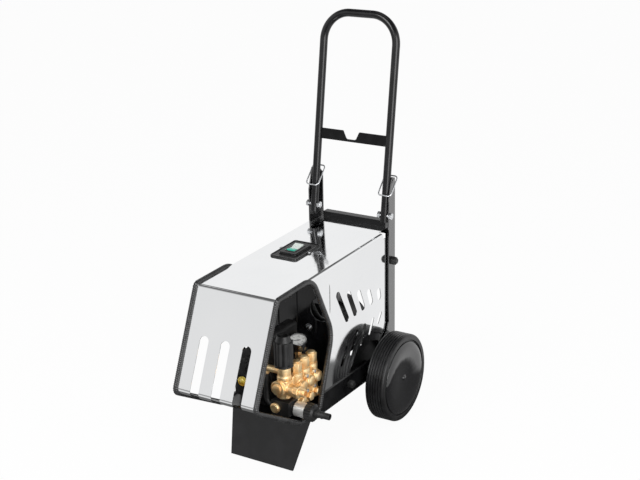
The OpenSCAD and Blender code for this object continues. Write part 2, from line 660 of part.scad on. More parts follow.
// ---------------------------------------------------------------- pump drive
crank_y1 = -275;
crank_l = 125;
crank_y0 = crank_y1 - crank_l;
crank_x0 = -90;
crank_x1 = 52;
crank_bottom = tray_top + 24;
crank_step = [30, 278];       // the crankcase steps down beside the gauge
bell_y1 = motor_y0 - shield_t;
module bell_housing() {
    color("dimgray") on_shaft(bell_y1) difference() {
        union() {
            cylinder(r = motor_r + 2, h = 8, $fn = 96);
            cylinder(r = bell_r, h = bell_y1 - crank_y1, $fn = 96);
        }
        translate([0, 0, -1]) cylinder(r = bell_r - 8, h = bell_y1 - crank_y1 - 9, $fn = 96);
        translate([0, 0, -1]) cylinder(r = shaft_r + 2, h = far);
    }
}
crank_top = 362;
groove_step = (crank_l - 40) / 5;
module crankcase() {
    color("black") at_home() difference() {
        union() {
            translate([0, crank_y1, 0]) rotate([90, 0, 0]) linear_extrude(crank_y1 - crank_y0) polygon(rounded([
                [crank_x0, crank_bottom, 8], [crank_x0, crank_top + crank_x0, 4], [0, crank_top, 14],
                [crank_step[0], crank_top, 10], [crank_step[0], crank_step[1], 4],
                [crank_x1, crank_step[1], 4], [crank_x1, crank_bottom, 4]]));
            for (y = [crank_y0 + 20, crank_y1 - 34])
                block(crank_x0 + 20, crank_x1 - 20, y, y + 14, tray_top, crank_bottom + 6);
        }
        // cooling grooves across the sloping shoulder
        for (i = [0 : 5]) translate([crank_x0 * 0.344, crank_y0 + 20 + i * groove_step, crank_top + crank_x0 * 0.344])
            rotate([0, -45, 0]) cube([52, 6, 10], center = true);
        rod_y(shaft_r + 1, crank_y1 - 14, far, shaft_x, shaft_z);
    }
}
cover_y0 = crank_y0 - 12;
cover_disc_r = 58;
cover_bolt_h = 3;
module crankcase_cover() {
    color("black") at_home() difference() {
        union() {
            rod_y(cover_disc_r, cover_y0, crank_y0, shaft_x, shaft_z);
            for (a = [0 : 60 : 300])
                rod_y(5, cover_y0 - cover_bolt_h, cover_y0, shaft_x + (cover_disc_r - 8) * cos(a),
                      shaft_z + (cover_disc_r - 8) * sin(a));
        }
        rod_y(34, cover_y0 - 1, cover_y0 + 3, shaft_x + 6, shaft_z + 8);
    }
}
module oil_sight() {
    color("goldenrod") at_home() difference() {
        rod_y(13, cover_y0 - 5, cover_y0, -55, 222);
        rod_y(9, cover_y0 - 6, cover_y0 - 3.5, -55, 222);
    }
}
module oil_plug() {
    color("black") at_home() translate([crank_x0 + 14, crank_y0 + 28, 286]) rotate([0, -45, 0]) union() {
        cylinder(r = 9, h = 16);
        translate([0, 0, 16]) cylinder(r = 12, h = 12);
        translate([0, 0, 28]) cylinder(r = 8, h = 5);
    }
}

// ---------------------------------------------------------------- pump head
head_x1 = 106;
head_y1 = -285;
head_y0 = head_y1 - head_l;
head_z0 = 200;
head_z1 = 262;
cap_y = [for (i = [-1 : 1]) (head_y0 + head_y1) / 2 + 5 + i * plunger_pitch];
cap_x = 88;
module pump_head() {
    color("goldenrod") at_home() union() {
        translate([0, head_y1, 0]) rotate([90, 0, 0]) linear_extrude(head_l) polygon(rounded([
            [crank_x1, head_z0, 2], [crank_x1, head_z1, 2], [head_x1, head_z1, 8], [head_x1, head_z0, 6]]));
        translate([0, head_y1, 0]) rotate([90, 0, 0]) linear_extrude(head_l - 14) polygon(rounded([
            [crank_x1, head_z0 - 32, 2], [crank_x1, head_z0 + 5, 0], [head_x1 - 6, head_z0 + 5, 0], [head_x1 - 6, head_z0 - 32, 9]]));
    }
}
module valve_caps() {
    color("goldenrod") at_home() for (y = cap_y) {
        rod_z(15.5, head_z1, head_z1 + 5, cap_x, y);
        hex_z(27, head_z1 + 5, head_z1 + 32, cap_x, y);
        rod_z(12, head_z1 + 32, head_z1 + 37, cap_x, y);
        rod_x(15.5, head_x1, head_x1 + 5, y, head_z0 + 30);
        translate([head_x1 + 5, y, head_z0 + 30]) rotate([0, 90, 0])
            cylinder(r1 = 14.5, r2 = 11, h = trim_x0 - head_x1 - 5 - near_gap);
        hex_x(24, head_x1 - 6, head_x1 + 8, y, head_z0 - 14);
    }
}
module head_bolts() {
    color("silver") at_home() for (y = [cap_y[0] + plunger_pitch / 2, cap_y[1] + plunger_pitch / 2])
        for (z = [head_z0 + 9, head_z1 - 11]) difference() {
            rod_x(5, head_x1, head_x1 + 6, y, z);
            hex_x(5, head_x1 + 3, head_x1 + 7, y, z);
        }
}
// pressure regulating valve on the front of the head
unl_x = 80;
unl_y = head_y0 - 19;
unl_z0 = 209;
knob_z0 = 298;
out_z = 234;
module unloader_body() {
    elbow_z = 284;
    color("goldenrod") at_home() union() {
        block(62, 98, head_y0 - 38, head_y0, unl_z0, head_z1);
        rod_z(17, head_z1, knob_z0 - 2, unl_x, unl_y);
        rod_z(8, knob_z0 - 2, knob_z0 + 40, unl_x, unl_y);
        // outlet towards the mouth, with its hexagon and its threaded spigot
        rod_x(17, 98, 114, unl_y, out_z);
        hex_x(33, 114, 128, unl_y, out_z);
        rod_x(11, 128, 144, unl_y, out_z);
        // round front cap
        rod_y(20, head_y0 - 46, head_y0 - 38, 74, 241);
        rod_y(17, head_y0 - 50, head_y0 - 46, 74, 241);
        // bypass elbow
        rod_x(9, bypass_x, unl_x, bypass_y, elbow_z);
        translate([bypass_x, bypass_y, elbow_z]) sphere(9);
        rod_z(9, bypass_z1, elbow_z, bypass_x, bypass_y);
    }
}
module regulator_knob() {
    flutes = 8;
    r = knob_d / 2;
    color("black") at_home() translate([unl_x, unl_y, knob_z0]) difference() {
        union() {
            cylinder(r = r, h = 6);
            translate([0, 0, 6]) linear_extrude(knob_h - 22) polygon([for (a = [0 : 5 : 355])
                (r - 4 * pow((1 - cos(flutes * a)) / 2, 2)) * [cos(a), sin(a)]]);
            translate([0, 0, knob_h - 16]) cylinder(r1 = r - 4, r2 = r - 9, h = 16);
        }
        translate([0, 0, -1]) cylinder(r = 8 + seat_gap, h = 46);
        translate([0, 0, knob_h - 5]) cylinder(r = r - 13, h = 6);
    }
}

// ---------------------------------------------------------------- pressure gauge
gauge_at = [60, (cap_y[1] + cap_y[2]) / 2, head_z1 + 50];
gauge_tilt = 16;
gauge_h = 24;
gauge_r = gauge_d / 2;
module gauge_place() { at_home() translate(gauge_at) rotate([gauge_tilt, gauge_tilt * 0.7, 0]) children(); }
module gauge_case() {
    color("black") gauge_place() difference() {
        cylinder(r = gauge_r, h = gauge_h, $fn = 64);
        translate([0, 0, gauge_h - 6]) cylinder(r = gauge_r - 2, h = 10, $fn = 64);
    }
}
module gauge_stem() {
    color("goldenrod") difference() {
        at_home() union() {
            rod_z(6, head_z1, gauge_at[2] + 6, gauge_at[0], gauge_at[1]);
            hex_z(17, head_z1 + 18, head_z1 + 34, gauge_at[0], gauge_at[1]);
        }
        gauge_place() cylinder(r = gauge_r, h = gauge_h);
    }
}
module gauge_dial() {
    color("white") gauge_place() union() {
        translate([0, 0, gauge_h - 6]) cylinder(r = gauge_r - 2, h = 1, $fn = 64);
        translate([0, 0, gauge_h - 5]) cylinder(r = 1, h = 1.6);
    }
}
module gauge_needle() {
    color("black") gauge_place() translate([0, 0, gauge_h - 4.5]) difference() {
        union() {
            cylinder(r = 3, h = 0.8);
            rotate(225) linear_extrude(0.8) polygon([[-6, -1.2], [-6, 1.2], [gauge_r - 7, 0.4], [gauge_r - 7, -0.4]]);
        }
        translate([0, 0, -1]) cylinder(r = 1 + seat_gap, h = 4);
    }
}
module gauge_glass() {
    color("lightblue", 0.3) gauge_place() translate([0, 0, gauge_h - 2]) cylinder(r = gauge_r - 2, h = 1.5, $fn = 64);
}

// ---------------------------------------------------------------- water inlet
in_y = -404;
in_z = 178;
in_x0 = 46;
in_x1 = 100;
block_y0 = -430;
block_y1 = -387;
block_z0 = in_z - 19.5;
neck_x = in_x1 + 8;
thread_x = neck_x + filter_l;
thread_r = filter_d / 2 - 3;
thread_l = 12;
tail_r = 11;
nut_l = 25;
module inlet_block() {
    color("black") at_home() difference() {
        union() {
            translate([0, block_y1, 0]) rotate([90, 0, 0]) linear_extrude(block_y1 - block_y0) polygon(rounded([
                [in_x0, block_z0, 4], [in_x0, head_z0, 2], [in_x1, head_z0, 2], [in_x1, block_z0, 4]]));
            rod_x(15, in_x1, neck_x, in_y, in_z);
        }
        // the crankcase's corner stands in the block's rear edge
        block(0, crank_x1 + near_gap, crank_y0 - near_gap, far, 0, far);
    }
}
module inlet_plug() {
    color("goldenrod") at_home() union() {
        rod_y(14, block_y0 - 6, block_y0, 60, in_z + 2);
        rod_y(11.5, block_y0 - 9, block_y0 - 6, 60, in_z + 2);
    }
}
module inlet_filter() {
    color("gainsboro") at_home() difference() {
        union() {
            rod_x(filter_d / 2, neck_x, thread_x, in_y, in_z);
            rod_x(thread_r, thread_x, thread_x + thread_l, in_y, in_z);
        }
        rod_x(8, neck_x + 6, far, in_y, in_z);
    }
}
module inlet_nut() {
    x0 = thread_x + 1;
    r = filter_d / 2 + 4;
    shoulder_x = thread_x + thread_l + 4 + near_gap;
    color("black") at_home() difference() {
        translate([x0, in_y, in_z]) rotate([0, 90, 0]) union() {
            linear_extrude(nut_l - 5) polygon([for (a = [0 : 3 : 357]) (r - 1.4 * (1 - cos(20 * a)) / 2) * [cos(a), sin(a)]]);
            translate([0, 0, nut_l - 5]) cylinder(r1 = r - 2, r2 = r - 6, h = 5);
        }
        rod_x(thread_r + seat_gap, 0, shoulder_x, in_y, in_z);
        rod_x(tail_r + seat_gap, 0, far, in_y, in_z);
    }
}
tail_x0 = thread_x + thread_l;
tail_end = 208;
module hose_tail() {
    barb_x = tail_x0 + 20;
    color("black") at_home() difference() {
        union() {
            rod_x(15, tail_x0, tail_x0 + 4, in_y, in_z);
            rod_x(tail_r, tail_x0 + 4, barb_x, in_y, in_z);
            rod_x(8.5, barb_x, tail_end, in_y, in_z);
            for (i = [0 : 1]) translate([barb_x + 3 + i * 9, in_y, in_z]) rotate([0, 90, 0]) cylinder(r1 = 10.5, r2 = 8.5, h = 7);
        }
        rod_x(5.5, 0, far, in_y, in_z);
    }
}
bypass_r = 7;
bypass_x = 28;
bypass_y = cover_y0 - cover_bolt_h - near_gap - bypass_r;   // passes in front of the cover's bolts
bypass_z1 = 268;
module bypass_hose() {
    bend = in_x0 - bypass_x;
    color("black") at_home() union() {
        rod_z(bypass_r, in_z + 4 + bend, bypass_z1, bypass_x, bypass_y);
        translate([in_x0, bypass_y, in_z + 4 + bend]) rotate([90, 0, 0])
            rotate_extrude(angle = 90, start = 180) translate([bend, 0]) circle(bypass_r);
    }
}

// ---------------------------------------------------------------- switch on the hood
switch_hole = [34, 58];
module switch_place() {
    y = -196;
    translate([-22, y, top_z(y)]) rotate([slope_deg, 0, 0]) children();
}
module switch_frame() {
    w = 84;
    l = 126;
    color("black") at_home() switch_place() difference() {
        union() {
            linear_extrude(3) polygon(rounded([[-w / 2, -l / 2, 8], [-w / 2, l / 2, 8], [w / 2, l / 2, 8], [w / 2, -l / 2, 8]]));
            for (s = [-1, 1]) translate([s * w / 2, 0, 0]) cylinder(r = 7, h = 3);
            translate([0, 0, 3]) linear_extrude(6) polygon(rounded([[-26, -40, 5], [-26, 40, 5], [26, 40, 5], [26, -40, 5]]));
            translate([0, 0, -22]) linear_extrude(22) polygon([[-17, -29], [-17, 29], [17, 29], [17, -29]]);
        }
        translate([-13, -25, -18]) cube([26, 50, 40]);
        translate([0, 0, -6]) rod_x(2, -15.5, 15.5, 0, 0);
    }
}
module switch_rocker() {
    color("green") at_home() switch_place() translate([0, 0, -6]) union() {
        difference() {
            rotate([90, 0, 90]) translate([0, 0, -12.6]) linear_extrude(25.2) polygon(rounded([
                [-21, 0, 1], [-22, 17.5, 2], [0, 14.5, 0], [22, 21.5, 2], [21, 0, 1]]));
            rotate([90, 0, 90]) translate([0, 0, -40]) linear_extrude(80) polygon([[-20, -1], [20, -1], [0, -0.5]]);
        }
        rod_x(2 - seat_gap, -15.4, 15.4, 0, 0);
    }
}
module motor_cable() {
    x = shaft_x + 60;
    z = box_z0 + 26;
    color("black") at_home() union() {
        rod_x(5, shaft_x + 54, x + 18, -100, z);
        translate([x + 18, -100, z]) sphere(5);
        rod_y(5, bulk_y + 40, -100, x + 18, z);
        translate([x + 18, bulk_y + 40, z]) sphere(5);
    }
}

hood();
trim_right();
trim_left();
base_tray();
rail_right();
rail_left();
front_foot();
upright_right();
upright_left();
cross_member();
axle();
axle_spacers();
bulkhead();
tyre_right();
rim_right();
hubcap_right();
tyre_left();
rim_left();
hubcap_left();
handle_tube();
hook_plate();
pivot_bolts();
lock_ring_right();
lock_ring_left();
upright_knob_right();
upright_knob_left();
rail_knob_right();
rail_knob_left();
motor_housing();
motor_feet();
end_shields();
fan_cover();
motor_rotor();
terminal_box();
bell_housing();
crankcase();
crankcase_cover();
oil_plug();
oil_sight();
pump_head();
valve_caps();
head_bolts();
unloader_body();
regulator_knob();
gauge_stem();
gauge_case();
gauge_dial();
gauge_needle();
gauge_glass();
inlet_block();
inlet_plug();
inlet_filter();
inlet_nut();
hose_tail();
bypass_hose();
switch_frame();
switch_rocker();
motor_cable();
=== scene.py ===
# %% [markdown]
# # A pressure washer on wheels
# The CAD model is the frame: it says where every piece is and how it moves. Here each
# piece gets its finish, and what a plain solid can't show, such as the ribbed edge trim
# and the gauge's face, is modelled over it.

# %% Load the frame
import json
import math

import bmesh
import bpy
from mathutils import Matrix, Vector

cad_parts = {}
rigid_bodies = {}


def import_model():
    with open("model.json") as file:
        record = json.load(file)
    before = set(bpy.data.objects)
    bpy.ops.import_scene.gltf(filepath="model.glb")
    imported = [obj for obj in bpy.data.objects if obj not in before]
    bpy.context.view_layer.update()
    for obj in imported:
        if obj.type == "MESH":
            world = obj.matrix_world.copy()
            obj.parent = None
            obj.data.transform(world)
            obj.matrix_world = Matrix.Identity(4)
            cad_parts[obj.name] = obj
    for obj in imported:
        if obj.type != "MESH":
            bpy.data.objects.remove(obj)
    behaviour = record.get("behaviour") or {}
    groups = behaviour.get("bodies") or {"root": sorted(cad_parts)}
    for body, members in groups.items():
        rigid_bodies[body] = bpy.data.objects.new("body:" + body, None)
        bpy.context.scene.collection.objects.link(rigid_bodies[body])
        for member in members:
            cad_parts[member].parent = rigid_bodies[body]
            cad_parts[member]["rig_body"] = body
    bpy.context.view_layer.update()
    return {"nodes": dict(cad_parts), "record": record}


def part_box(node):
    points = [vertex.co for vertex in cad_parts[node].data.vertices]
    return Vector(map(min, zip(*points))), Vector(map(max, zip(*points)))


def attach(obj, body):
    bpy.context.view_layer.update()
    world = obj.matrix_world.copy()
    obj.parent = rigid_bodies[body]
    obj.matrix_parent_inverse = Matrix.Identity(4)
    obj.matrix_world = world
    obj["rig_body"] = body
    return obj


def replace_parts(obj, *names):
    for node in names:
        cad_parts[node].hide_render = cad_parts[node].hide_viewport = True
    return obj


for old in list(bpy.data.objects):
    bpy.data.objects.remove(old)
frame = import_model()
nodes = frame["nodes"]
slots = {part["node"]: part["material_slot"] for part in frame["record"]["subparts"]}
MM = 0.001
axle_low, axle_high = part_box("axle")
AXLE_Y = (axle_low.y + axle_high.y) / 2
print("nodes:", len(nodes), "axle at y =", round(AXLE_Y, 4))


def at(x, y, z):
    """A place in millimetres, with y measured from the wheel axle, as a point in metres."""
    return Vector((x * MM, y * MM + AXLE_Y, z * MM))


# %% [markdown]
# ## Camera
# The machine is seen from its front right corner and from a little above. A short lens
# close up would spread its edges, so a long one stands further back. The camera is placed
# by its angles and not by a target, because the picture is tilted by one degree.

# %% Camera
scene = bpy.context.scene
scene.view_settings.view_transform = "Standard"
CAMERA_AT = Vector((1.7860, -2.7050, 1.6684))
AZIMUTH = math.radians(32.18)
ELEVATION = math.radians(18.72)
ROLL = math.radians(-1.0)
camera_data = bpy.data.cameras.new("camera")
camera_data.sensor_width = 36.0
camera_data.lens = 73.1
camera = bpy.data.objects.new("camera", camera_data)
scene.collection.objects.link(camera)
turn = Matrix.Rotation(AZIMUTH, 4, "Z") @ Matrix.Rotation(math.pi / 2 - ELEVATION, 4, "X")
camera.matrix_world = Matrix.Translation(CAMERA_AT) @ turn @ Matrix.Rotation(ROLL, 4, "Z")
scene.camera = camera
print("camera distance:", round(CAMERA_AT.length, 2), "m")

# %% [markdown]
# ## Writing shader maths as Python
# A Wire stands for the value in one socket. Adding, taking away or multiplying wires puts
# Math nodes in the material, so that a pattern reads as a formula. A Recipe makes every
# other kind of node with one method, and a Finish is the Recipe of one material.

# %% Wires and finishes
class Wire:
    def __init__(self, recipe, socket):
        self.recipe, self.socket = recipe, socket

    def maths(self, operation, *terms):
        return self.recipe.node("ShaderNodeMath", {"operation": operation}, dict(enumerate(terms)))

    def __add__(self, other):
        return self.maths("ADD", self, other)

    def __sub__(self, other):
        return self.maths("SUBTRACT", self, other)

    def __mul__(self, other):
        return self.maths("MULTIPLY", self, other)

    def __rsub__(self, other):
        return self.maths("SUBTRACT", other, self)

    __radd__, __rmul__ = __add__, __mul__


class Recipe:
    def __init__(self, tree):
        self.tree = tree

    def node(self, kind, settings=None, sockets=None, output=0):
        made = self.tree.nodes.new(kind)
        for key, value in (settings or {}).items():
            setattr(made, key, value)
        for key, value in (sockets or {}).items():
            self.feed(made.inputs[key], value)
        return Wire(self, made.outputs[output])

    def feed(self, socket, value):
        if isinstance(value, Wire):
            self.tree.links.new(value.socket, socket)
        else:
            socket.default_value = value

    def ramp(self, value, low, high):
        """0 below low, 1 above high, and a smooth rise between them."""
        settings = {"interpolation_type": "SMOOTHSTEP"}
        return self.node("ShaderNodeMapRange", settings, {0: value, 1: low, 2: high})

    def tint(self, share, first, second):
        """The first colour where share is 0, the second where it is 1."""
        sockets = {0: share, 6: (*first, 1.0), 7: (*second, 1.0)}
        return self.node("ShaderNodeMix", {"data_type": "RGBA"}, sockets, output=2)


class Finish(Recipe):
    """A material on Object coordinates, with its constants on the shader's own sockets."""

    def __init__(self, name, **constants):
        self.material = bpy.data.materials.new(name)
        self.material.use_nodes = True
        super().__init__(self.material.node_tree)
        self.shader = self.tree.nodes["Principled BSDF"]
        for key, value in constants.items():
            self.shader.inputs[key.replace("_", " ")].default_value = value
        self.place = self.node("ShaderNodeTexCoord", output="Object")

    def noise(self, scale, detail=2.0, stretch=(1.0, 1.0, 1.0)):
        stretched = self.node("ShaderNodeMapping", None, {"Vector": self.place, "Scale": stretch})
        sockets = {"Vector": stretched, "Scale": scale, "Detail": detail}
        return self.node("ShaderNodeTexNoise", None, sockets)

    def along(self, axis):
        """The x, y or z of the place on the object, in metres."""
        return self.node("ShaderNodeSeparateXYZ", None, {0: self.place}, output="XYZ".index(axis))

    def surface(self, colour, roughness):
        self.feed(self.shader.inputs["Base Color"], colour)
        self.feed(self.shader.inputs["Roughness"], roughness)

    def bump(self, height, distance, strength=1.0):
        sockets = {"Height": height, "Distance": distance, "Strength": strength}
        self.feed(self.shader.inputs["Normal"], self.node("ShaderNodeBump", None, sockets))


# %% [markdown]
# ## Studio
# A mirror shows the room, so the room is drawn for it: a white backdrop, a somewhat
# darker side behind the camera, and a dark ceiling that is lighter straight overhead.
# Where the sheet bends, its reflection runs through the ceiling, and that draws the dark
# line along a fold. Light Path keeps this apart from the softer light that falls on the
# paint, so that black stays black before a white background. A direction has a length of
# one, so its z is the sine of its height above the horizon.

# %% World
AMBIENT = 0.50
BACKDROP = 0.97
FRONT = 0.84
CEILING = 0.13
OVERHEAD_GAIN = 0.5
WHITE = (1.0, 1.0, 1.0, 1.0)
RAY_KINDS = ("Is Camera Ray", "Is Glossy Ray", "Is Transmission Ray")
world = bpy.data.worlds.new("studio")
world.use_nodes = True
scene.world = world
room = Recipe(world.node_tree)
direct, glossy, through = [room.node("ShaderNodeLightPath", output=kind) for kind in RAY_KINDS]
heading = room.node("ShaderNodeTexCoord", output="Generated")
heading_y, heading_z = [room.node("ShaderNodeSeparateXYZ", None, {0: heading}, output=i) for i in (1, 2)]
ceiling = room.ramp(heading_z, 0.43, 0.66)
overhead = room.ramp(heading_z, 0.88, 0.97)
front_side = 1.0 - room.ramp(heading_y, -0.85, -0.10)
below = BACKDROP - (BACKDROP - FRONT) * front_side * (1.0 - ceiling)
mirrored = below - (BACKDROP - CEILING) * ceiling + OVERHEAD_GAIN * overhead
seen = direct + through
level = AMBIENT * (1.0 - glossy) * (1.0 - seen) + seen + glossy * mirrored
background = world.node_tree.nodes["Background"]
room.feed(background.inputs["Color"], WHITE)
room.feed(background.inputs["Strength"], level)
print("world nodes:", len(world.node_tree.nodes))


# %% [markdown]
# ## Floor and lamps
# The floor is plain and white. It is bare to the camera, apart from a faint shadow, and
# dark to a mirror close to the machine, where the machine's own shadow lies. Two large
# lamps give the soft highlights along tubes and edges.

# %% Floor
def mesh_of(name, bm):
    """The bmesh as a new mesh. The bmesh is freed."""
    mesh = bpy.data.meshes.new(name)
    bm.to_mesh(mesh)
    bm.free()
    return mesh


FLOOR_SIZE = 40.0
GLOW_SHARE = 0.95
UNDER_MACHINE, BEYOND_MACHINE = 0.12, 0.93
BEFORE_MACHINE = 0.3
plane = bmesh.new()
bmesh.ops.create_grid(plane, x_segments=1, y_segments=1, size=FLOOR_SIZE / 2)
floor_mesh = mesh_of("floor", plane)
floor = bpy.data.objects.new("floor", floor_mesh)
scene.collection.objects.link(floor)
pale = Finish("floor_white", Roughness=0.9, Specular_IOR_Level=0.0)
pale.feed(pale.shader.inputs["Base Color"], (0.93, 0.93, 0.93, 1.0))
direct, glossy, through = [pale.node("ShaderNodeLightPath", output=kind) for kind in RAY_KINDS]
floor_x, floor_y = pale.along("X"), pale.along("Y")
away = pale.ramp(floor_x * floor_x + floor_y * floor_y, 0.38, 0.46)
beside = pale.ramp(floor_y, -1.6, -0.4)
around = UNDER_MACHINE + (BEYOND_MACHINE - UNDER_MACHINE) * away
mirrored = around * (BEFORE_MACHINE + (1.0 - BEFORE_MACHINE) * beside)
glow_level = direct + through + glossy * mirrored
glow = pale.node("ShaderNodeEmission", None, {"Color": WHITE, "Strength": glow_level})
bare = (direct + glossy + through) * GLOW_SHARE
lit = pale.node("ShaderNodeMixShader", None, {0: bare, 1: Wire(pale, pale.shader.outputs[0]), 2: glow})
pale.feed(pale.tree.nodes["Material Output"].inputs["Surface"], lit)
floor_mesh.materials.append(pale.material)
print("floor:", FLOOR_SIZE, "m wide")


# %% Lamps
def lamp(name, place, aim, size, watts):
    data = bpy.data.lights.new(name, "AREA")
    data.size = size
    data.energy = watts
    made = bpy.data.objects.new(name, data)
    scene.collection.objects.link(made)
    made.location = place
    made.rotation_euler = (Vector(aim) - Vector(place)).to_track_quat("-Z", "Y").to_euler()
    print("lamp:", name, watts, "W")


MIDDLE = (0.0, 0.0, 0.4)
lamp("key", (-0.5, -3.0, 3.0), MIDDLE, 1.8, 70.0)
lamp("side", (2.9, -1.7, 1.3), MIDDLE, 2.4, 72.0)

# %% [markdown]
# ## Polished steel
# The hood is stainless sheet, polished to a mirror, with fine lines along its rolling
# direction and a slow unevenness that bends reflections. The pull on the sheet leaves a
# short crease beside each mouth and a soft shoulder under the front fold. Both are too
# shallow to model, so they are heights in the bump.

# %% Polished steel
for plain in list(bpy.data.materials):
    if plain != pale.material:
        bpy.data.materials.remove(plain)
finishes = {}


def keep(finish):
    finishes[finish.material.name] = finish.material
    return finish


steel = keep(Finish("polished_steel", Metallic=1.0))
rolling = steel.noise(420.0, 3.0, (1.0, 0.03, 1.0))
sag = steel.noise(5.0, 1.0)
handled = steel.ramp(steel.noise(22.0, 3.0), 0.5, 0.75)
steel.surface(steel.tint(sag, (0.82, 0.83, 0.84), (0.90, 0.905, 0.91)),
              0.045 + 0.05 * rolling + 0.05 * handled)
wall_x, wall_y, wall_z = [steel.along(axis) for axis in "XYZ"]

CREASE_Y = at(0, -254, 0).y
CREASE_WIDTH = 0.008
off_line = (wall_y - CREASE_Y) * (wall_y - CREASE_Y)
across = 1.0 - steel.ramp(off_line, 0.0, CREASE_WIDTH ** 2)
up = steel.ramp(wall_z, 0.37, 0.42) * (1.0 - steel.ramp(wall_z, 0.45, 0.50))
outside = steel.ramp(wall_x * wall_x, 0.121 ** 2, 0.1225 ** 2)
crease = across * up * outside

FOLD_Y, FOLD_Z = -503, 513
fold = at(0, FOLD_Y, FOLD_Z)
under_fold = steel.ramp(wall_z, fold.z - 0.007, fold.z + 0.006)
shoulder = under_fold * (1.0 - steel.ramp(wall_y, fold.y + 0.0005, fold.y + 0.0055))
steel.bump(0.5 * sag - 1.3 * crease - 1.6 * shoulder, 0.0016)
print("steel nodes:", len(steel.tree.nodes))

# %% [markdown]
# ## Brass and zinc
# The pump's brass is bead-blasted. Its fine grain scatters light, so it glows more than
# it mirrors, and a slower noise gives the cloudy colour of a casting. Zinc plate is
# blotchy, with a cold tone.

# %% Brass and zinc
brass = keep(Finish("brass", Metallic=0.85))
grain = brass.noise(1700.0)
cloud = brass.noise(60.0, 3.0)
brass.surface(brass.tint(brass.ramp(cloud, 0.3, 0.7), (0.96, 0.60, 0.27), (1.0, 0.79, 0.46)),
              0.30 + 0.2 * grain)
brass.bump(grain + 0.8 * cloud, 0.0003, 0.7)

zinc = keep(Finish("zinc", Metallic=1.0))
blotch = zinc.noise(240.0, 3.0)
zinc.surface(zinc.tint(blotch, (0.60, 0.62, 0.64), (0.84, 0.85, 0.86)), 0.20 + 0.18 * blotch)
zinc.bump(blotch, 0.0001, 0.5)
print("metals:", ", ".join(finishes))


# %% [markdown]
# ## Paint, castings, rubber and mouldings
# These are all dark, and what tells them apart is how they scatter light. Powder coat has
# a fine orange peel, a painted casting has sand grain under it, rubber is dull and
# lighter where dust lies, and moulded plastic has a spark-eroded grain. One recipe makes
# them all from a noise for the grain and a slower one for the dust.

# %% Dark finishes
def dark(name, deep, dusty, grain_scale, grain_depth, roughness, **constants):
    """A dark finish between two colours, with its grain in metres."""
    finish = keep(Finish(name, **constants))
    grain = finish.noise(grain_scale)
    dust = finish.noise(35.0, 4.0)
    finish.surface(finish.tint(finish.ramp(dust, 0.35, 0.75), deep, dusty),
                   roughness + 0.14 * dust - 0.05 * grain)
    finish.bump(grain, grain_depth, 0.8)


dark("black_paint", (0.003, 0.003, 0.0034), (0.008, 0.008, 0.009), 900.0, 0.00004, 0.15,
     Specular_IOR_Level=0.40)
# A darker, duller copy of black paint for the flat plates: painted shade.
dark("black_paint_shaded_copy", (0.0025, 0.0025, 0.0028), (0.007, 0.007, 0.0075), 900.0, 0.00004, 0.24,
     Specular_IOR_Level=0.20)
# A lighter, glossier copy of black paint for the uprights: painted highlight.
dark("black_paint_lit_copy", (0.006, 0.006, 0.0065), (0.016, 0.016, 0.017), 900.0, 0.00004, 0.22,
     Specular_IOR_Level=0.6, Coat_Weight=1.0, Coat_IOR=1.85, Coat_Roughness=0.16)
dark("motor_grey", (0.024, 0.025, 0.026), (0.050, 0.051, 0.053), 520.0, 0.00045, 0.46,
     Specular_IOR_Level=0.35)
dark("casting_black", (0.009, 0.009, 0.009), (0.024, 0.024, 0.024), 460.0, 0.0005, 0.42,
     Specular_IOR_Level=0.30)
dark("trim_rubber", (0.014, 0.014, 0.0145), (0.032, 0.032, 0.033), 600.0, 0.00006, 0.22,
     Specular_IOR_Level=0.65)
dark("tyre", (0.006, 0.006, 0.0063), (0.018, 0.018, 0.019), 700.0, 0.0002, 0.34,
     Specular_IOR_Level=0.4)
dark("cable_rubber", (0.012, 0.012, 0.012), (0.028, 0.028, 0.028), 800.0, 0.0001, 0.45,
     Specular_IOR_Level=0.35)
dark("matte_black", (0.012, 0.012, 0.012), (0.024, 0.024, 0.024), 1500.0, 0.00012, 0.36,
     Specular_IOR_Level=0.40)

# %% [markdown]
# ## Hubcaps, filter, dial and glass
# The hubcaps are a glossy moulding and show the floor's edge as a line. The filter's bowl
# is frosted by its fine moulded rings. The dial is enamel behind a thin pane, which is
# left nearly see-through by its alpha, because a glass that bends light would darken the
# dial. The oil is a shade lighter above its level.

# %% Smooth finishes
gloss = keep(Finish("gloss_black", Specular_IOR_Level=1.0))
smear = gloss.noise(28.0, 4.0)
gloss.surface(gloss.tint(smear, (0.002, 0.002, 0.0025), (0.006, 0.006, 0.007)),
              0.02 + 0.04 * gloss.ramp(smear, 0.45, 0.8))
gloss.bump(smear, 0.0002, 0.2)

RINGS_PER_METRE = 1800.0
bowl = keep(Finish("clear_bowl", Metallic=0.6))
rings = bowl.node("ShaderNodeMath", {"operation": "SINE"}, {0: bowl.along("X") * RINGS_PER_METRE})
bowl.surface(bowl.tint(bowl.ramp(rings, -1.0, 1.0), (0.66, 0.66, 0.64), (0.86, 0.86, 0.84)),
             0.30 + 0.12 * bowl.noise(180.0))
bowl.bump(rings, 0.00008)

enamel = keep(Finish("dial_white"))
speck = enamel.noise(900.0)
enamel.surface(enamel.tint(speck, (0.88, 0.88, 0.85), (0.95, 0.95, 0.92)), 0.4 + 0.1 * speck)

lens = keep(Finish("glass", Alpha=0.12))
lens.surface(lens.tint(lens.noise(40.0), (0.90, 0.93, 0.94), (1.0, 1.0, 1.0)),
             0.02 + 0.03 * lens.noise(60.0))

oil = keep(Finish("amber", Coat_Weight=1.0, Coat_Roughness=0.05))
air = oil.ramp(oil.along("Z") + 0.002 * oil.noise(120.0), 0.217, 0.226)
oil.surface(oil.tint(air, (0.55, 0.30, 0.02), (0.86, 0.66, 0.12)), 0.2 + 0.1 * oil.noise(200.0))

# %% [markdown]
# ## The switch's rocker
# Its front end is green and the rest is a milky white, moulded in one piece. The change
# from one to the other is a soft step along the machine, placed from the rocker's box.

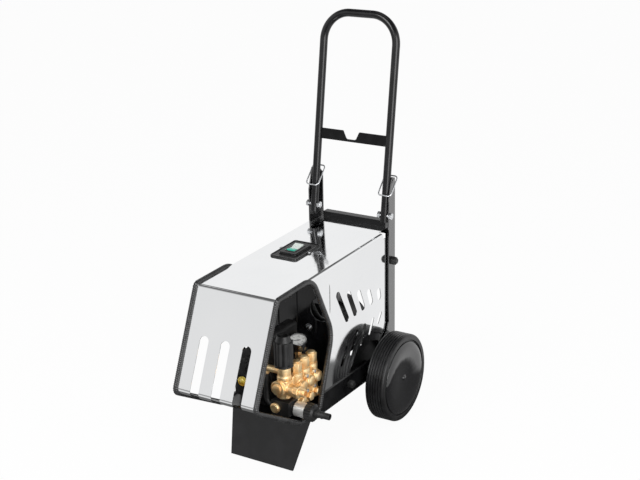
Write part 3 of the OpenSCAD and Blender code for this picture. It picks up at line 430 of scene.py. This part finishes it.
# %% Rocker
GREEN_SHARE = 0.35
rocker_low, rocker_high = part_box("switch_rocker")
green_end = rocker_low.y + GREEN_SHARE * (rocker_high.y - rocker_low.y)
rocker = keep(Finish("green", Coat_Weight=0.4, Coat_Roughness=0.15))
milk = rocker.ramp(rocker.along("Y"), green_end - MM, green_end + MM)
rocker.surface(rocker.tint(milk, (0.0, 0.42, 0.29), (0.72, 0.78, 0.74)), 0.28 + 0.1 * rocker.noise(300.0))
print("finishes:", len(finishes))

# %% [markdown]
# ## Dressing the frame
# Each CAD node takes the finish of its slot in the record. Castings share the slot of black
# paint there and get their own finish here. The uprights get a lighter, glossier copy of the
# black paint, a painted highlight, and the flat plates a darker, duller copy, a painted shade.

# %% Dress every node
OWN_FINISH = {
    "casting_black": ("crankcase", "crankcase_cover"),
    "black_paint_lit_copy": ("upright_right", "upright_left"),
    "black_paint_shaded_copy": ("cross_member", "hook_plate", "base_tray", "rail_right", "rail_left"),
}
own_finish = {node: finish for finish, group in OWN_FINISH.items() for node in group}


def finish_of(node):
    return finishes[own_finish.get(node, slots[node])]


for name, node in nodes.items():
    node.data.materials.clear()
    node.data.materials.append(finish_of(name))
print("dressed:", len(nodes), "nodes")


# %% [markdown]
# ## Soft edges
# No real edge is perfectly sharp, and light catches the small round along it. A CAD node
# is loose triangles, so a copy is welded first and its flat faces are joined. Bevel then
# rounds what is left, and weighted normals keep the large faces flat to the eye. Tubes
# and wheels have no edge to round, and only get smooth shading.

# %% Pieces and softened copies
def add_piece(name, mesh, body):
    piece = bpy.data.objects.new(name, mesh)
    scene.collection.objects.link(piece)
    for polygon in mesh.polygons:
        polygon.use_smooth = True
    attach(piece, body)
    return piece


def mark_sharp(bm, angle):
    for edge in bm.edges:
        edge.smooth = edge.calc_face_angle(math.pi) < math.radians(angle)


def cut(mesh, cutter):
    """The mesh less the cutter, both closed."""
    holders = [bpy.data.objects.new("cutting", each) for each in (mesh, cutter)]
    for holder in holders:
        scene.collection.objects.link(holder)
    cutting = holders[0].modifiers.new("cut", "BOOLEAN")
    cutting.operation = "DIFFERENCE"
    cutting.solver = "EXACT"
    cutting.object = holders[1]
    shown = holders[0].evaluated_get(bpy.context.evaluated_depsgraph_get())
    result = bpy.data.meshes.new_from_object(shown)
    for holder in holders:
        bpy.data.objects.remove(holder)
    return result


EDGE_ANGLE = 32
SAME_PLACE = 3e-6


def soften(node, width, segments=2, cutter=None):
    """A copy of the node that replaces it, with edges rounded by a width in millimetres."""
    bm = bmesh.new()
    bm.from_mesh(nodes[node].data)
    bmesh.ops.remove_doubles(bm, verts=bm.verts, dist=SAME_PLACE)
    if cutter:
        whole = mesh_of(node + "_whole", bm)
        bm = bmesh.new()
        bm.from_mesh(cut(whole, cutter))
        bmesh.ops.remove_doubles(bm, verts=bm.verts, dist=SAME_PLACE)
    bmesh.ops.dissolve_limit(bm, angle_limit=math.radians(0.8), verts=bm.verts, edges=bm.edges)
    mark_sharp(bm, EDGE_ANGLE)
    mesh = mesh_of(node + "_soft", bm)
    mesh.materials.append(finish_of(node))
    piece = add_piece(node + "_soft", mesh, nodes[node]["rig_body"])
    if width:
        rounding = piece.modifiers.new("edges", "BEVEL")
        rounding.width = width * MM
        rounding.segments = segments
        rounding.profile = 0.5
        rounding.limit_method = "ANGLE"
        rounding.angle_limit = math.radians(EDGE_ANGLE)
        rounding.material = -1
    weighting = piece.modifiers.new("flat_faces", "WEIGHTED_NORMAL")
    weighting.keep_sharp = True
    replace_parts(piece, node)


# %% Soften the nodes
PLATE_EDGE = 0.35
PLATES = ("base_tray", "rail_right", "rail_left", "front_foot", "upright_right", "upright_left",
          "cross_member", "hook_plate", "bulkhead")
TUBES = ("handle_tube", "lock_ring_right", "lock_ring_left", "bypass_hose", "motor_cable", "motor_rotor",
         "rim_right", "rim_left", "tyre_right", "tyre_left", "axle", "axle_spacers", "end_shields",
         "bell_housing", "fan_cover", "motor_housing", "gauge_dial", "gauge_glass", "gauge_needle")
EDGES = {
    "crankcase": 2.0, "crankcase_cover": 1.0, "inlet_block": 1.4, "inlet_plug": 1.2, "oil_plug": 0.8,
    "motor_feet": 1.2, "terminal_box": 1.5, "gauge_case": 0.8, "gauge_stem": 0.5, "regulator_knob": 1.0,
    "inlet_nut": 0.4, "inlet_filter": 0.8, "hose_tail": 0.5, "upright_knob_right": 0.8,
    "upright_knob_left": 0.8, "rail_knob_right": 0.8, "rail_knob_left": 0.8, "pivot_bolts": 0.4,
    "head_bolts": 0.3, "hubcap_right": 0.5, "hubcap_left": 0.5, "switch_frame": 0.6,
    "switch_rocker": 0.8, "oil_sight": 0.5,
}
for node in PLATES:
    soften(node, PLATE_EDGE, 1)
for node in TUBES:
    soften(node, 0)
for node, width in EDGES.items():
    soften(node, width)
print("softened:", len(PLATES) + len(TUBES) + len(EDGES))

# %% [markdown]
# ## The hood's louvre slots
# The upper slots are wide ovals cut through the sheet. Each runs between two points of a
# side wall. Its cutter is a long capsule that goes through both walls, so one Boolean
# cuts all ten slots alike.

# %% Hood
UPPER_SLOTS = [(-219, 432, -174, 350), (-163, 416, -131, 352), (-110, 402, -88, 353),
               (-56, 386, -44, 355), (-2, 370, 2, 354)]
UPPER_SLOT_R = 9.6
CUTTER_X = 140


def extrude(bm, faces, by):
    """Push a copy of the faces along a vector, with walls behind it."""
    grown = bmesh.ops.extrude_face_region(bm, geom=faces)["geom"]
    bmesh.ops.translate(bm, vec=by, verts=[part for part in grown if isinstance(part, bmesh.types.BMVert)])


capsules = bmesh.new()
for y0, z0, y1, z1 in UPPER_SLOTS:
    start, end = Vector((y0, z0)), Vector((y1, z1))
    lean = math.degrees(math.atan2(end.y - start.y, end.x - start.x))
    outline = []
    for centre, first in ((end, lean - 90), (start, lean + 90)):
        for angle in range(0, 181, 15):
            around = math.radians(first + angle)
            outline.append(centre + UPPER_SLOT_R * Vector((math.cos(around), math.sin(around))))
    face = capsules.faces.new([capsules.verts.new(at(-CUTTER_X, *point)) for point in outline])
    extrude(capsules, [face], (2 * CUTTER_X * MM, 0, 0))
bmesh.ops.recalc_face_normals(capsules, faces=capsules.faces)
soften("hood", PLATE_EDGE, 1, cutter=mesh_of("capsules", capsules))
print("upper slots:", len(UPPER_SLOTS), "in each wall")

# %% [markdown]
# ## Ribbed edge trim
# A rubber channel grips the cut edge of each mouth. Its section is a rounded square, and
# small ribs run across it. Following a curve with an even bevel would give no ribs, so
# the section is extruded from station to station along the mouth's outline, a little
# smaller between two ribs.

# %% Path of the mouth
TOP_SLOPE = 0.036


def top_z(y):
    """The height of the hood's top, which rises from the fold towards the rear."""
    return FOLD_Z + (y - FOLD_Y) * TOP_SLOPE


MOUTH = [(FOLD_Y, FOLD_Z, 12), (-343, top_z(-343), 60), (-250, 338, 90), (-320, 144, 14),
         (-415, 144, 30), (-612, 256, 16)]
STATION_STEP = 1.3
STATIONS_PER_RIB = 4


def bend_at(before, corner, after, radius):
    """Where the round of a corner starts and ends, and its centre."""
    back, on = (before - corner).normalized(), (after - corner).normalized()
    half = back.angle(on) / 2
    reach = radius / math.tan(half)
    centre = corner + (back + on).normalized() * radius / math.sin(half)
    return corner + back * reach, corner + on * reach, centre


def round_path(corners, step):
    """Points about every step millimetres along a closed outline with rounded corners."""
    places = [Vector(corner[:2]) for corner in corners]
    bends = []
    for i, place in enumerate(places):
        radius = corners[i][2]
        after = places[(i + 1) % len(places)]
        bends.append((*bend_at(places[i - 1], place, after, radius), radius))
    points = []
    for i, (start, end, centre, radius) in enumerate(bends):
        first, last = start - centre, end - centre
        sweep = first.angle(last)
        count = max(2, round(sweep * radius / step))
        for k in range(count):
            share = k / count
            from_first, from_last = math.sin(sweep * (1 - share)), math.sin(sweep * share)
            points.append(centre + (first * from_first + last * from_last) / math.sin(sweep))
        following = bends[(i + 1) % len(bends)][0]
        count = max(1, round((following - end).length / step))
        points += [end.lerp(following, k / count) for k in range(count)]
    return points


stations = round_path(MOUTH, STATION_STEP)
stations = stations[:len(stations) // STATIONS_PER_RIB * STATIONS_PER_RIB]
print("stations along a mouth:", len(stations))

# %% Trim
TRIM_SIZE, TRIM_CORNER = 13.9, 6.0
TRIM_MIDDLE_X = 123.0
GROOVE_SIZE = 0.87


def station_places(side):
    """The place of the section at each station, smaller in the grooves between ribs."""
    places = []
    for i, point in enumerate(stations):
        ahead = stations[(i + 1) % len(stations)] - stations[i - 1]
        outward = Vector((0.0, -ahead.y, ahead.x)).normalized()
        along = Vector((0.0, ahead.x, ahead.y)).normalized()
        basis = Matrix((Vector((1.0, 0.0, 0.0)), outward, along)).transposed().to_4x4()
        size = 1.0 if i % STATIONS_PER_RIB < STATIONS_PER_RIB / 2 else GROOVE_SIZE
        centre = Matrix.Translation(at(side * TRIM_MIDDLE_X, point.x, point.y))
        places.append(centre @ basis @ Matrix.Diagonal((size, size, 1.0, 1.0)))
    return places


def round_corners(bm, offset, segments):
    bmesh.ops.bevel(bm, geom=bm.verts[:], offset=offset * MM, segments=segments, profile=0.5,
                    affect="VERTICES", material=-1)


def made_piece(name, bm, slot, body="machine", place=Matrix.Identity(4)):
    """The bmesh moved to its place, as a piece with its finish."""
    bmesh.ops.transform(bm, matrix=place, verts=bm.verts)
    mesh = mesh_of(name, bm)
    mesh.materials.append(finishes[slot])
    return add_piece(name, mesh, body)


def trim(name, side):
    bm = bmesh.new()
    bmesh.ops.create_grid(bm, x_segments=1, y_segments=1, size=TRIM_SIZE / 2 * MM)
    round_corners(bm, TRIM_CORNER, 5)
    bmesh.ops.delete(bm, geom=bm.faces[:], context="FACES_ONLY")
    places = station_places(side)
    bmesh.ops.transform(bm, matrix=places[0], verts=bm.verts)
    first = ring = bm.edges[:]
    for before, after in zip(places, places[1:]):
        made = bmesh.ops.extrude_edge_only(bm, edges=ring)["geom"]
        moved = [part for part in made if isinstance(part, bmesh.types.BMVert)]
        ring = [part for part in made if isinstance(part, bmesh.types.BMEdge)]
        bmesh.ops.transform(bm, matrix=after @ before.inverted(), verts=moved)
    bmesh.ops.bridge_loops(bm, edges=ring + first)
    bmesh.ops.recalc_face_normals(bm, faces=bm.faces)
    return made_piece(name, bm, "trim_rubber")


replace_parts(trim("edge_trim_right", 1), "trim_right")
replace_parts(trim("edge_trim_left", -1), "trim_left")
print("ribs on each trim:", len(stations) // STATIONS_PER_RIB)

# %% [markdown]
# ## Turned pieces
# A bezel, a lens, a washer and a cap are all solids of revolution, as a lathe makes them.
# One helper spins a profile of radius and height about an axis, closes it and places it.

# %% Spinning a profile
def turned(name, profile, place, slot, body="machine", steps=48):
    """profile is a list of (radius, height) in millimetres, from one end of the axis to the other."""
    bm = bmesh.new()
    line = [bm.verts.new((radius * MM, 0.0, height * MM)) for radius, height in profile]
    edges = [bm.edges.new(pair) for pair in zip(line, line[1:])]
    bmesh.ops.spin(bm, geom=line + edges, cent=(0, 0, 0), axis=(0, 0, 1), angle=2 * math.pi,
                   steps=steps, use_merge=True)
    bmesh.ops.remove_doubles(bm, verts=bm.verts, dist=1e-6)
    bmesh.ops.recalc_face_normals(bm, faces=bm.faces)
    mark_sharp(bm, 35)
    return made_piece(name, bm, slot, body, place)


def placed(point, axis="Z"):
    """A place whose own z axis points along +X, -Y or +Z."""
    turns = {"Z": Matrix.Identity(4), "X": Matrix.Rotation(math.pi / 2, 4, "Y"),
             "-Y": Matrix.Rotation(math.pi / 2, 4, "X")}
    return Matrix.Translation(point) @ turns[axis]


# %% [markdown]
# ## Pressure gauge
# The face carries a scale from 0 to 250 with a tick at each ten and a number at each
# fifty. The ticks are flat blocks and the numbers are text turned into a mesh. Both lie on
# the dial as print does, and stay sharp from close up, which a painted pattern wouldn't.

# %% Gauge
GAUGE_AT = at(60, -318.5, 312)
GAUGE_TILT = math.radians(16)
GAUGE_TWIST = 0.7 * GAUGE_TILT
PRINT_HEIGHT = 19.05
SCALE_END, TICK_STEP, NUMBER_STEP = 250, 10, 50
SCALE_START, SCALE_SWEEP = math.radians(225), math.radians(270)
TICK_R, NUMBER_R, NUMBER_SIZE = 20.6, 14.2, 5.2
gauge_place = (Matrix.Translation(GAUGE_AT) @ Matrix.Rotation(GAUGE_TWIST, 4, "Y")
               @ Matrix.Rotation(GAUGE_TILT, 4, "X"))
turned("gauge_bezel", [(23.2, 20.5), (22.6, 22.2), (22.8, 24.2), (24.2, 24.9), (25.3, 23.6), (25.3, 19.0)],
       gauge_place, "gloss_black", steps=64)


def scale_angle(pressure):
    return SCALE_START - SCALE_SWEEP * pressure / SCALE_END


def add_tick(marks, pressure):
    long = pressure % NUMBER_STEP == 0
    length, width = (3.4, 0.8) if long else (1.8, 0.4)
    middle = TICK_R - 0.8 if long else TICK_R
    made = bmesh.ops.create_cube(marks, size=1.0)["verts"]
    out = Matrix.Translation((middle * MM, 0.0, PRINT_HEIGHT * MM))
    size = Matrix.Diagonal((length * MM, width * MM, 0.1 * MM, 1.0))
    turn = Matrix.Rotation(scale_angle(pressure), 4, "Z")
    bmesh.ops.transform(marks, matrix=turn @ out @ size, verts=made)


def add_number(marks, pressure):
    letters = bpy.data.curves.new("number", "FONT")
    letters.body = str(pressure)
    letters.size = NUMBER_SIZE * MM
    letters.align_x, letters.align_y = "CENTER", "CENTER"
    holder = bpy.data.objects.new("number", letters)
    scene.collection.objects.link(holder)
    flat = bpy.data.meshes.new_from_object(holder)
    angle = scale_angle(pressure)
    place = Vector((NUMBER_R * math.cos(angle), NUMBER_R * math.sin(angle), PRINT_HEIGHT + 0.04))
    flat.transform(Matrix.Translation(place * MM))
    marks.from_mesh(flat)
    bpy.data.objects.remove(holder)
    bpy.data.meshes.remove(flat)


marks = bmesh.new()
for pressure in range(0, SCALE_END + 1, TICK_STEP):
    add_tick(marks, pressure)
for pressure in range(0, SCALE_END + 1, NUMBER_STEP):
    add_number(marks, pressure)
made_piece("gauge_marks", marks, "matte_black", place=gauge_place)
print("gauge: 0 to", SCALE_END)

# %% [markdown]
# ## Cast brass
# A casting has no sharp inner corner, and Bevel can't round where two cylinders meet. So
# the manifold and the unloader are put together from cylinders and blocks, remeshed into
# one skin and smoothed, which leaves the fillets of a mould.

# %% Castings
def rod(bm, radius, length, place, segments=40):
    """A cylinder from the place's origin along its z axis."""
    made = bmesh.ops.create_cone(bm, cap_ends=True, segments=segments, radius1=radius * MM,
                                 radius2=radius * MM, depth=length * MM)["verts"]
    bmesh.ops.translate(bm, vec=(0, 0, length / 2 * MM), verts=made)
    bmesh.ops.transform(bm, matrix=place, verts=made)


def brick(bm, low, high):
    low, high = at(*low), at(*high)
    made = bmesh.ops.create_cube(bm, size=1.0)["verts"]
    size = Matrix.Diagonal((*(high - low), 1.0))
    bmesh.ops.transform(bm, matrix=Matrix.Translation((low + high) / 2) @ size, verts=made)


def cast(name, bm, node):
    """One smooth skin round what the bmesh holds, in place of the node."""
    holder = bpy.data.objects.new(name, mesh_of(name, bm))
    scene.collection.objects.link(holder)
    skin = holder.modifiers.new("skin", "REMESH")
    skin.mode = "VOXEL"
    skin.voxel_size = 1.3 * MM
    fillets = holder.modifiers.new("fillets", "SMOOTH")
    fillets.factor = 0.5
    fillets.iterations = 7
    shown = holder.evaluated_get(bpy.context.evaluated_depsgraph_get())
    result = bpy.data.meshes.new_from_object(shown)
    bpy.data.objects.remove(holder)
    result.materials.clear()
    result.materials.append(finish_of(node))
    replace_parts(add_piece(name, result, nodes[node]["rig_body"]), node)
    print(name, "faces:", len(result.polygons))


# %% Manifold
PLUNGER_PITCH = 36
PLUNGER_Y = [-336.5 + i * PLUNGER_PITCH for i in (-1, 0, 1)]
TOP_X, SIDE_Z, LOW_Z = 88, 230, 186
manifold = bmesh.new()
brick(manifold, (52, -396, 206), (90, -287, 258))
brick(manifold, (52, -382, 170), (86, -287, 208))
for y in PLUNGER_Y:
    rod(manifold, 17.5, 92, placed(at(TOP_X - 1, y, 170)))
    rod(manifold, 17.0, 54, placed(at(53, y, SIDE_Z), "X"))
    rod(manifold, 14.0, 46, placed(at(55, y, LOW_Z), "X"))
cast("manifold", manifold, "pump_head")

# %% Unloader
UNLOADER_X = 80
UNLOADER_Y = -417
OUTLET_Z = 234
FRONT_CAP_X, FRONT_CAP_Z = 74, 241
BYPASS_X, BYPASS_Y, BYPASS_Z = 28, -422.4, 284
unloader = bmesh.new()
brick(unloader, (64, -432, 212), (96, -398, 256))
rod(unloader, 17.5, 84, placed(at(UNLOADER_X, UNLOADER_Y, 210)))
rod(unloader, 19.0, 8, placed(at(UNLOADER_X, UNLOADER_Y, 262)))
rod(unloader, 8.0, 50, placed(at(UNLOADER_X, UNLOADER_Y, 287)))
rod(unloader, 16.5, 48, placed(at(66, UNLOADER_Y, OUTLET_Z), "X"))
rod(unloader, 19.5, 36, placed(at(FRONT_CAP_X, -402, FRONT_CAP_Z), "-Y"))
rod(unloader, 9.5, 52, placed(at(BYPASS_X, BYPASS_Y, BYPASS_Z), "X"))
rod(unloader, 9.5, 20, placed(at(BYPASS_X, BYPASS_Y, 268)))
cast("unloader", unloader, "unloader_body")

# %% [markdown]
# ## Machined brass
# The plugs, caps and nuts on the castings are cut from bar, so they stay crisp: hexagons
# with a small chamfer, and turned discs and domes. Every plunger has the same set.

# %% Plugs and caps
def round_edges(bm, offset, segments):
    bmesh.ops.bevel(bm, geom=bm.edges[:], offset=offset * MM, segments=segments, profile=0.5,
                    affect="EDGES", material=-1)


def hexagon(name, point, axis, flats, length):
    """A hexagon bar whose end edges and corners are rounded."""
    bm = bmesh.new()
    rod(bm, flats / math.sqrt(3), length, Matrix.Identity(4), 6)
    round_edges(bm, 1.6, 3)
    return made_piece(name, bm, "brass", place=placed(point, axis))


COLLAR_Z, PLUG_Z, DOME_Z = 261.5, 266, 294
SIDE_CAP_X, LOW_PLUG_X = 106, 99
COLLAR = [(0, 0), (16.4, 0), (16.4, 4.0), (15.2, 5.2), (0, 5.2)]
DOME = [(0, 5), (6.0, 4.6), (10.4, 3.2), (12.0, 1.0), (12.0, -2.0)]
SIDE_CAP = [(0, 0), (15.5, 0), (15.5, 3.6), (14.4, 4.8), (13.6, 7.4), (11.0, 9.0), (6.0, 9.5), (0, 9.5)]
collars = []
for i, y in enumerate(PLUNGER_Y):
    collars.append(turned(f"top_collar_{i}", COLLAR, placed(at(TOP_X, y, COLLAR_Z)), "brass"))
    hexagon(f"top_plug_{i}", at(TOP_X, y, PLUG_Z), "Z", flats=27, length=28)
    turned(f"top_dome_{i}", DOME, placed(at(TOP_X, y, DOME_Z)), "brass")
    turned(f"side_cap_{i}", SIDE_CAP, placed(at(SIDE_CAP_X, y, SIDE_Z), "X"), "brass")
    hexagon(f"low_plug_{i}", at(LOW_PLUG_X, y, LOW_Z), "X", flats=23, length=14)
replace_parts(collars[0], "valve_caps")
print("sets of plugs:", len(collars))

# %% Outlet and front cap
THREAD_PITCH = 1.7
THREAD_TURNS = 8
THREAD_R, THREAD_ROOT_R = 11.0, 9.9
OUTLET_NUT_X, OUTLET_THREAD_X = 113, 128
hexagon("outlet_nut", at(OUTLET_NUT_X, UNLOADER_Y, OUTLET_Z), "X", flats=32, length=15)
thread = [(0, 0), (THREAD_R, 0)]
for k in range(THREAD_TURNS):
    crest = 1.0 + THREAD_PITCH * k
    thread += [(THREAD_R, crest), (THREAD_ROOT_R, crest + THREAD_PITCH / 2)]
turned("outlet_thread", thread + [(10.6, 15.0), (9.4, 16.0), (7.0, 16.0), (7.0, 4.0), (0, 4.0)],
       placed(at(OUTLET_THREAD_X, UNLOADER_Y, OUTLET_Z), "X"), "brass")
FRONT_CAP = [(0, 0), (20, 0), (20, 5.0), (18.6, 6.6), (14.6, 6.8), (13.8, 6.0), (13.0, 6.6), (12.4, 10.4),
             (10.4, 11.8), (0, 12)]
turned("front_cap", FRONT_CAP, placed(at(FRONT_CAP_X, -436, FRONT_CAP_Z), "-Y"), "brass")

# %% [markdown]
# ## Small details
# The sight glass has a domed lens, the hubcaps a centre button, and the bulkhead is held
# by plated bolts with washers. The left button is the right one mirrored.

# %% Lens, buttons and bolts
HUBCAP_FACE_X, AXLE_Z = 206.6, 0.125
BUTTON = [(0.0, 2.0), (4.6, 1.8), (6.2, 0.9), (6.6, -0.6)]
SIGHT_LENS = [(0.0, 3.2), (4.0, 2.9), (7.4, 1.6), (8.9, 0.0)]
turned("sight_lens", SIGHT_LENS, placed(at(-55, -416.0, 222), "-Y"), "amber")
for side, wheel in ((1, "wheel_right"), (-1, "wheel_left")):
    face = placed(Vector((HUBCAP_FACE_X * MM, AXLE_Y, AXLE_Z)), "X")
    turned(wheel + "_button", BUTTON, Matrix.Diagonal((side, 1.0, 1.0, 1.0)) @ face, "gloss_black", wheel)


def bolt(name, point, axis, flats=10.0):
    """A hexagon head on a washer."""
    washer = 0.15 * flats
    bm = bmesh.new()
    rod(bm, flats / math.sqrt(3), 0.6 * flats, Matrix.Translation((0, 0, washer * MM)), 6)
    rod(bm, flats, washer, Matrix.Identity(4), 28)
    round_edges(bm, 0.35, 2)
    bmesh.ops.recalc_face_normals(bm, faces=bm.faces)
    made_piece(name, bm, "zinc", place=placed(point, axis))


BULKHEAD_FACE_Y = -232
BULKHEAD_BOLTS = [(-86, 470), (86, 470), (-86, 330), (40, 330)]
for i, (x, z) in enumerate(BULKHEAD_BOLTS):
    bolt(f"bulkhead_bolt_{i}", at(x, BULKHEAD_FACE_Y, z), "-Y")
print("bulkhead bolts:", len(BULKHEAD_BOLTS))

# %% [markdown]
# ## Switch rims
# The switch sits in a moulded plate. A raised rim runs round the plate, another seals the
# cover, and a bezel frames the rocker. All three are the same rounded ring in three
# sizes: a face is inset, its middle is taken out, and the rest is extruded.

# %% Switch
SWITCH_X, SWITCH_Y = -22, -196
switch_at = at(SWITCH_X, SWITCH_Y, top_z(SWITCH_Y))
switch_place = Matrix.Translation(switch_at) @ Matrix.Rotation(math.atan(TOP_SLOPE), 4, "X")


def rim(name, half_x, half_y, width, base, height, corner):
    """A rounded rectangular ring that stands on the switch's plate, in millimetres."""
    bm = bmesh.new()
    bmesh.ops.create_grid(bm, x_segments=1, y_segments=1, size=MM)
    bmesh.ops.transform(bm, matrix=Matrix.Diagonal((half_x, half_y, 1.0, 1.0)), verts=bm.verts)
    round_corners(bm, corner, 4)
    inner = bm.faces[:]
    bmesh.ops.inset_region(bm, faces=inner, thickness=width * MM, use_boundary=True)
    bmesh.ops.delete(bm, geom=inner, context="FACES_ONLY")
    extrude(bm, bm.faces[:], (0, 0, height * MM))
    bmesh.ops.recalc_face_normals(bm, faces=bm.faces)
    place = switch_place @ Matrix.Translation((0, 0, base * MM))
    rounding = made_piece(name, bm, "gloss_black", place=place).modifiers.new("edges", "BEVEL")
    rounding.width = 0.4 * MM
    rounding.segments = 2
    rounding.profile = 0.5
    rounding.material = -1


rim("switch_rim", 41.0, 62.0, 2.4, 2.9, 1.8, 7.0)
rim("switch_gasket", 27.6, 41.6, 1.8, 2.9, 3.0, 6.0)
rim("rocker_bezel", 16.4, 28.6, 3.0, 8.9, 1.3, 3.0)

SCREW = [(0, 1.6), (2.6, 1.5), (3.6, 0.9), (3.9, 0), (0, 0)]
SCREW_X = 44
for name, side in (("switch_screw_l", -1), ("switch_screw_r", 1)):
    screw_place = switch_place @ Matrix.Translation((side * SCREW_X * MM, 0, 3 * MM))
    turned(name, SCREW, screw_place, "zinc", steps=24)
print("switch at", [round(value, 3) for value in switch_at])

# %% [markdown]
# ## Motor lead
# Under the hood the motor's lead rises from the terminal box to the underside of the
# switch. It is stiff rubber on a short way, so its route is a smooth curve through listed
# points, with a round bevel, turned into a mesh.

# %% Motor lead
LEAD_R = 4.9
LEAD = [(58, -170, 338), (58, -190, 339), (55, -208, 352), (45, -213, 378), (28, -210, 412),
        (6, -203, 448), (-12, -198, 480), (-20, -196, 502)]
lead_curve = bpy.data.curves.new("motor_lead", "CURVE")
lead_curve.dimensions = "3D"
lead_curve.bevel_depth = LEAD_R * MM
lead_curve.bevel_resolution = 4
route = lead_curve.splines.new("NURBS")
route.points.add(len(LEAD) - 1)
for point, place in zip(route.points, LEAD):
    point.co = (*at(*place), 1.0)
route.order_u = 4
route.use_endpoint_u = True
route.resolution_u = 8
holder = bpy.data.objects.new("motor_lead", lead_curve)
scene.collection.objects.link(holder)
lead_mesh = bpy.data.meshes.new_from_object(holder)
bpy.data.objects.remove(holder)
lead_mesh.materials.clear()
lead_mesh.materials.append(finishes["cable_rubber"])
add_piece("motor_lead", lead_mesh, "machine")
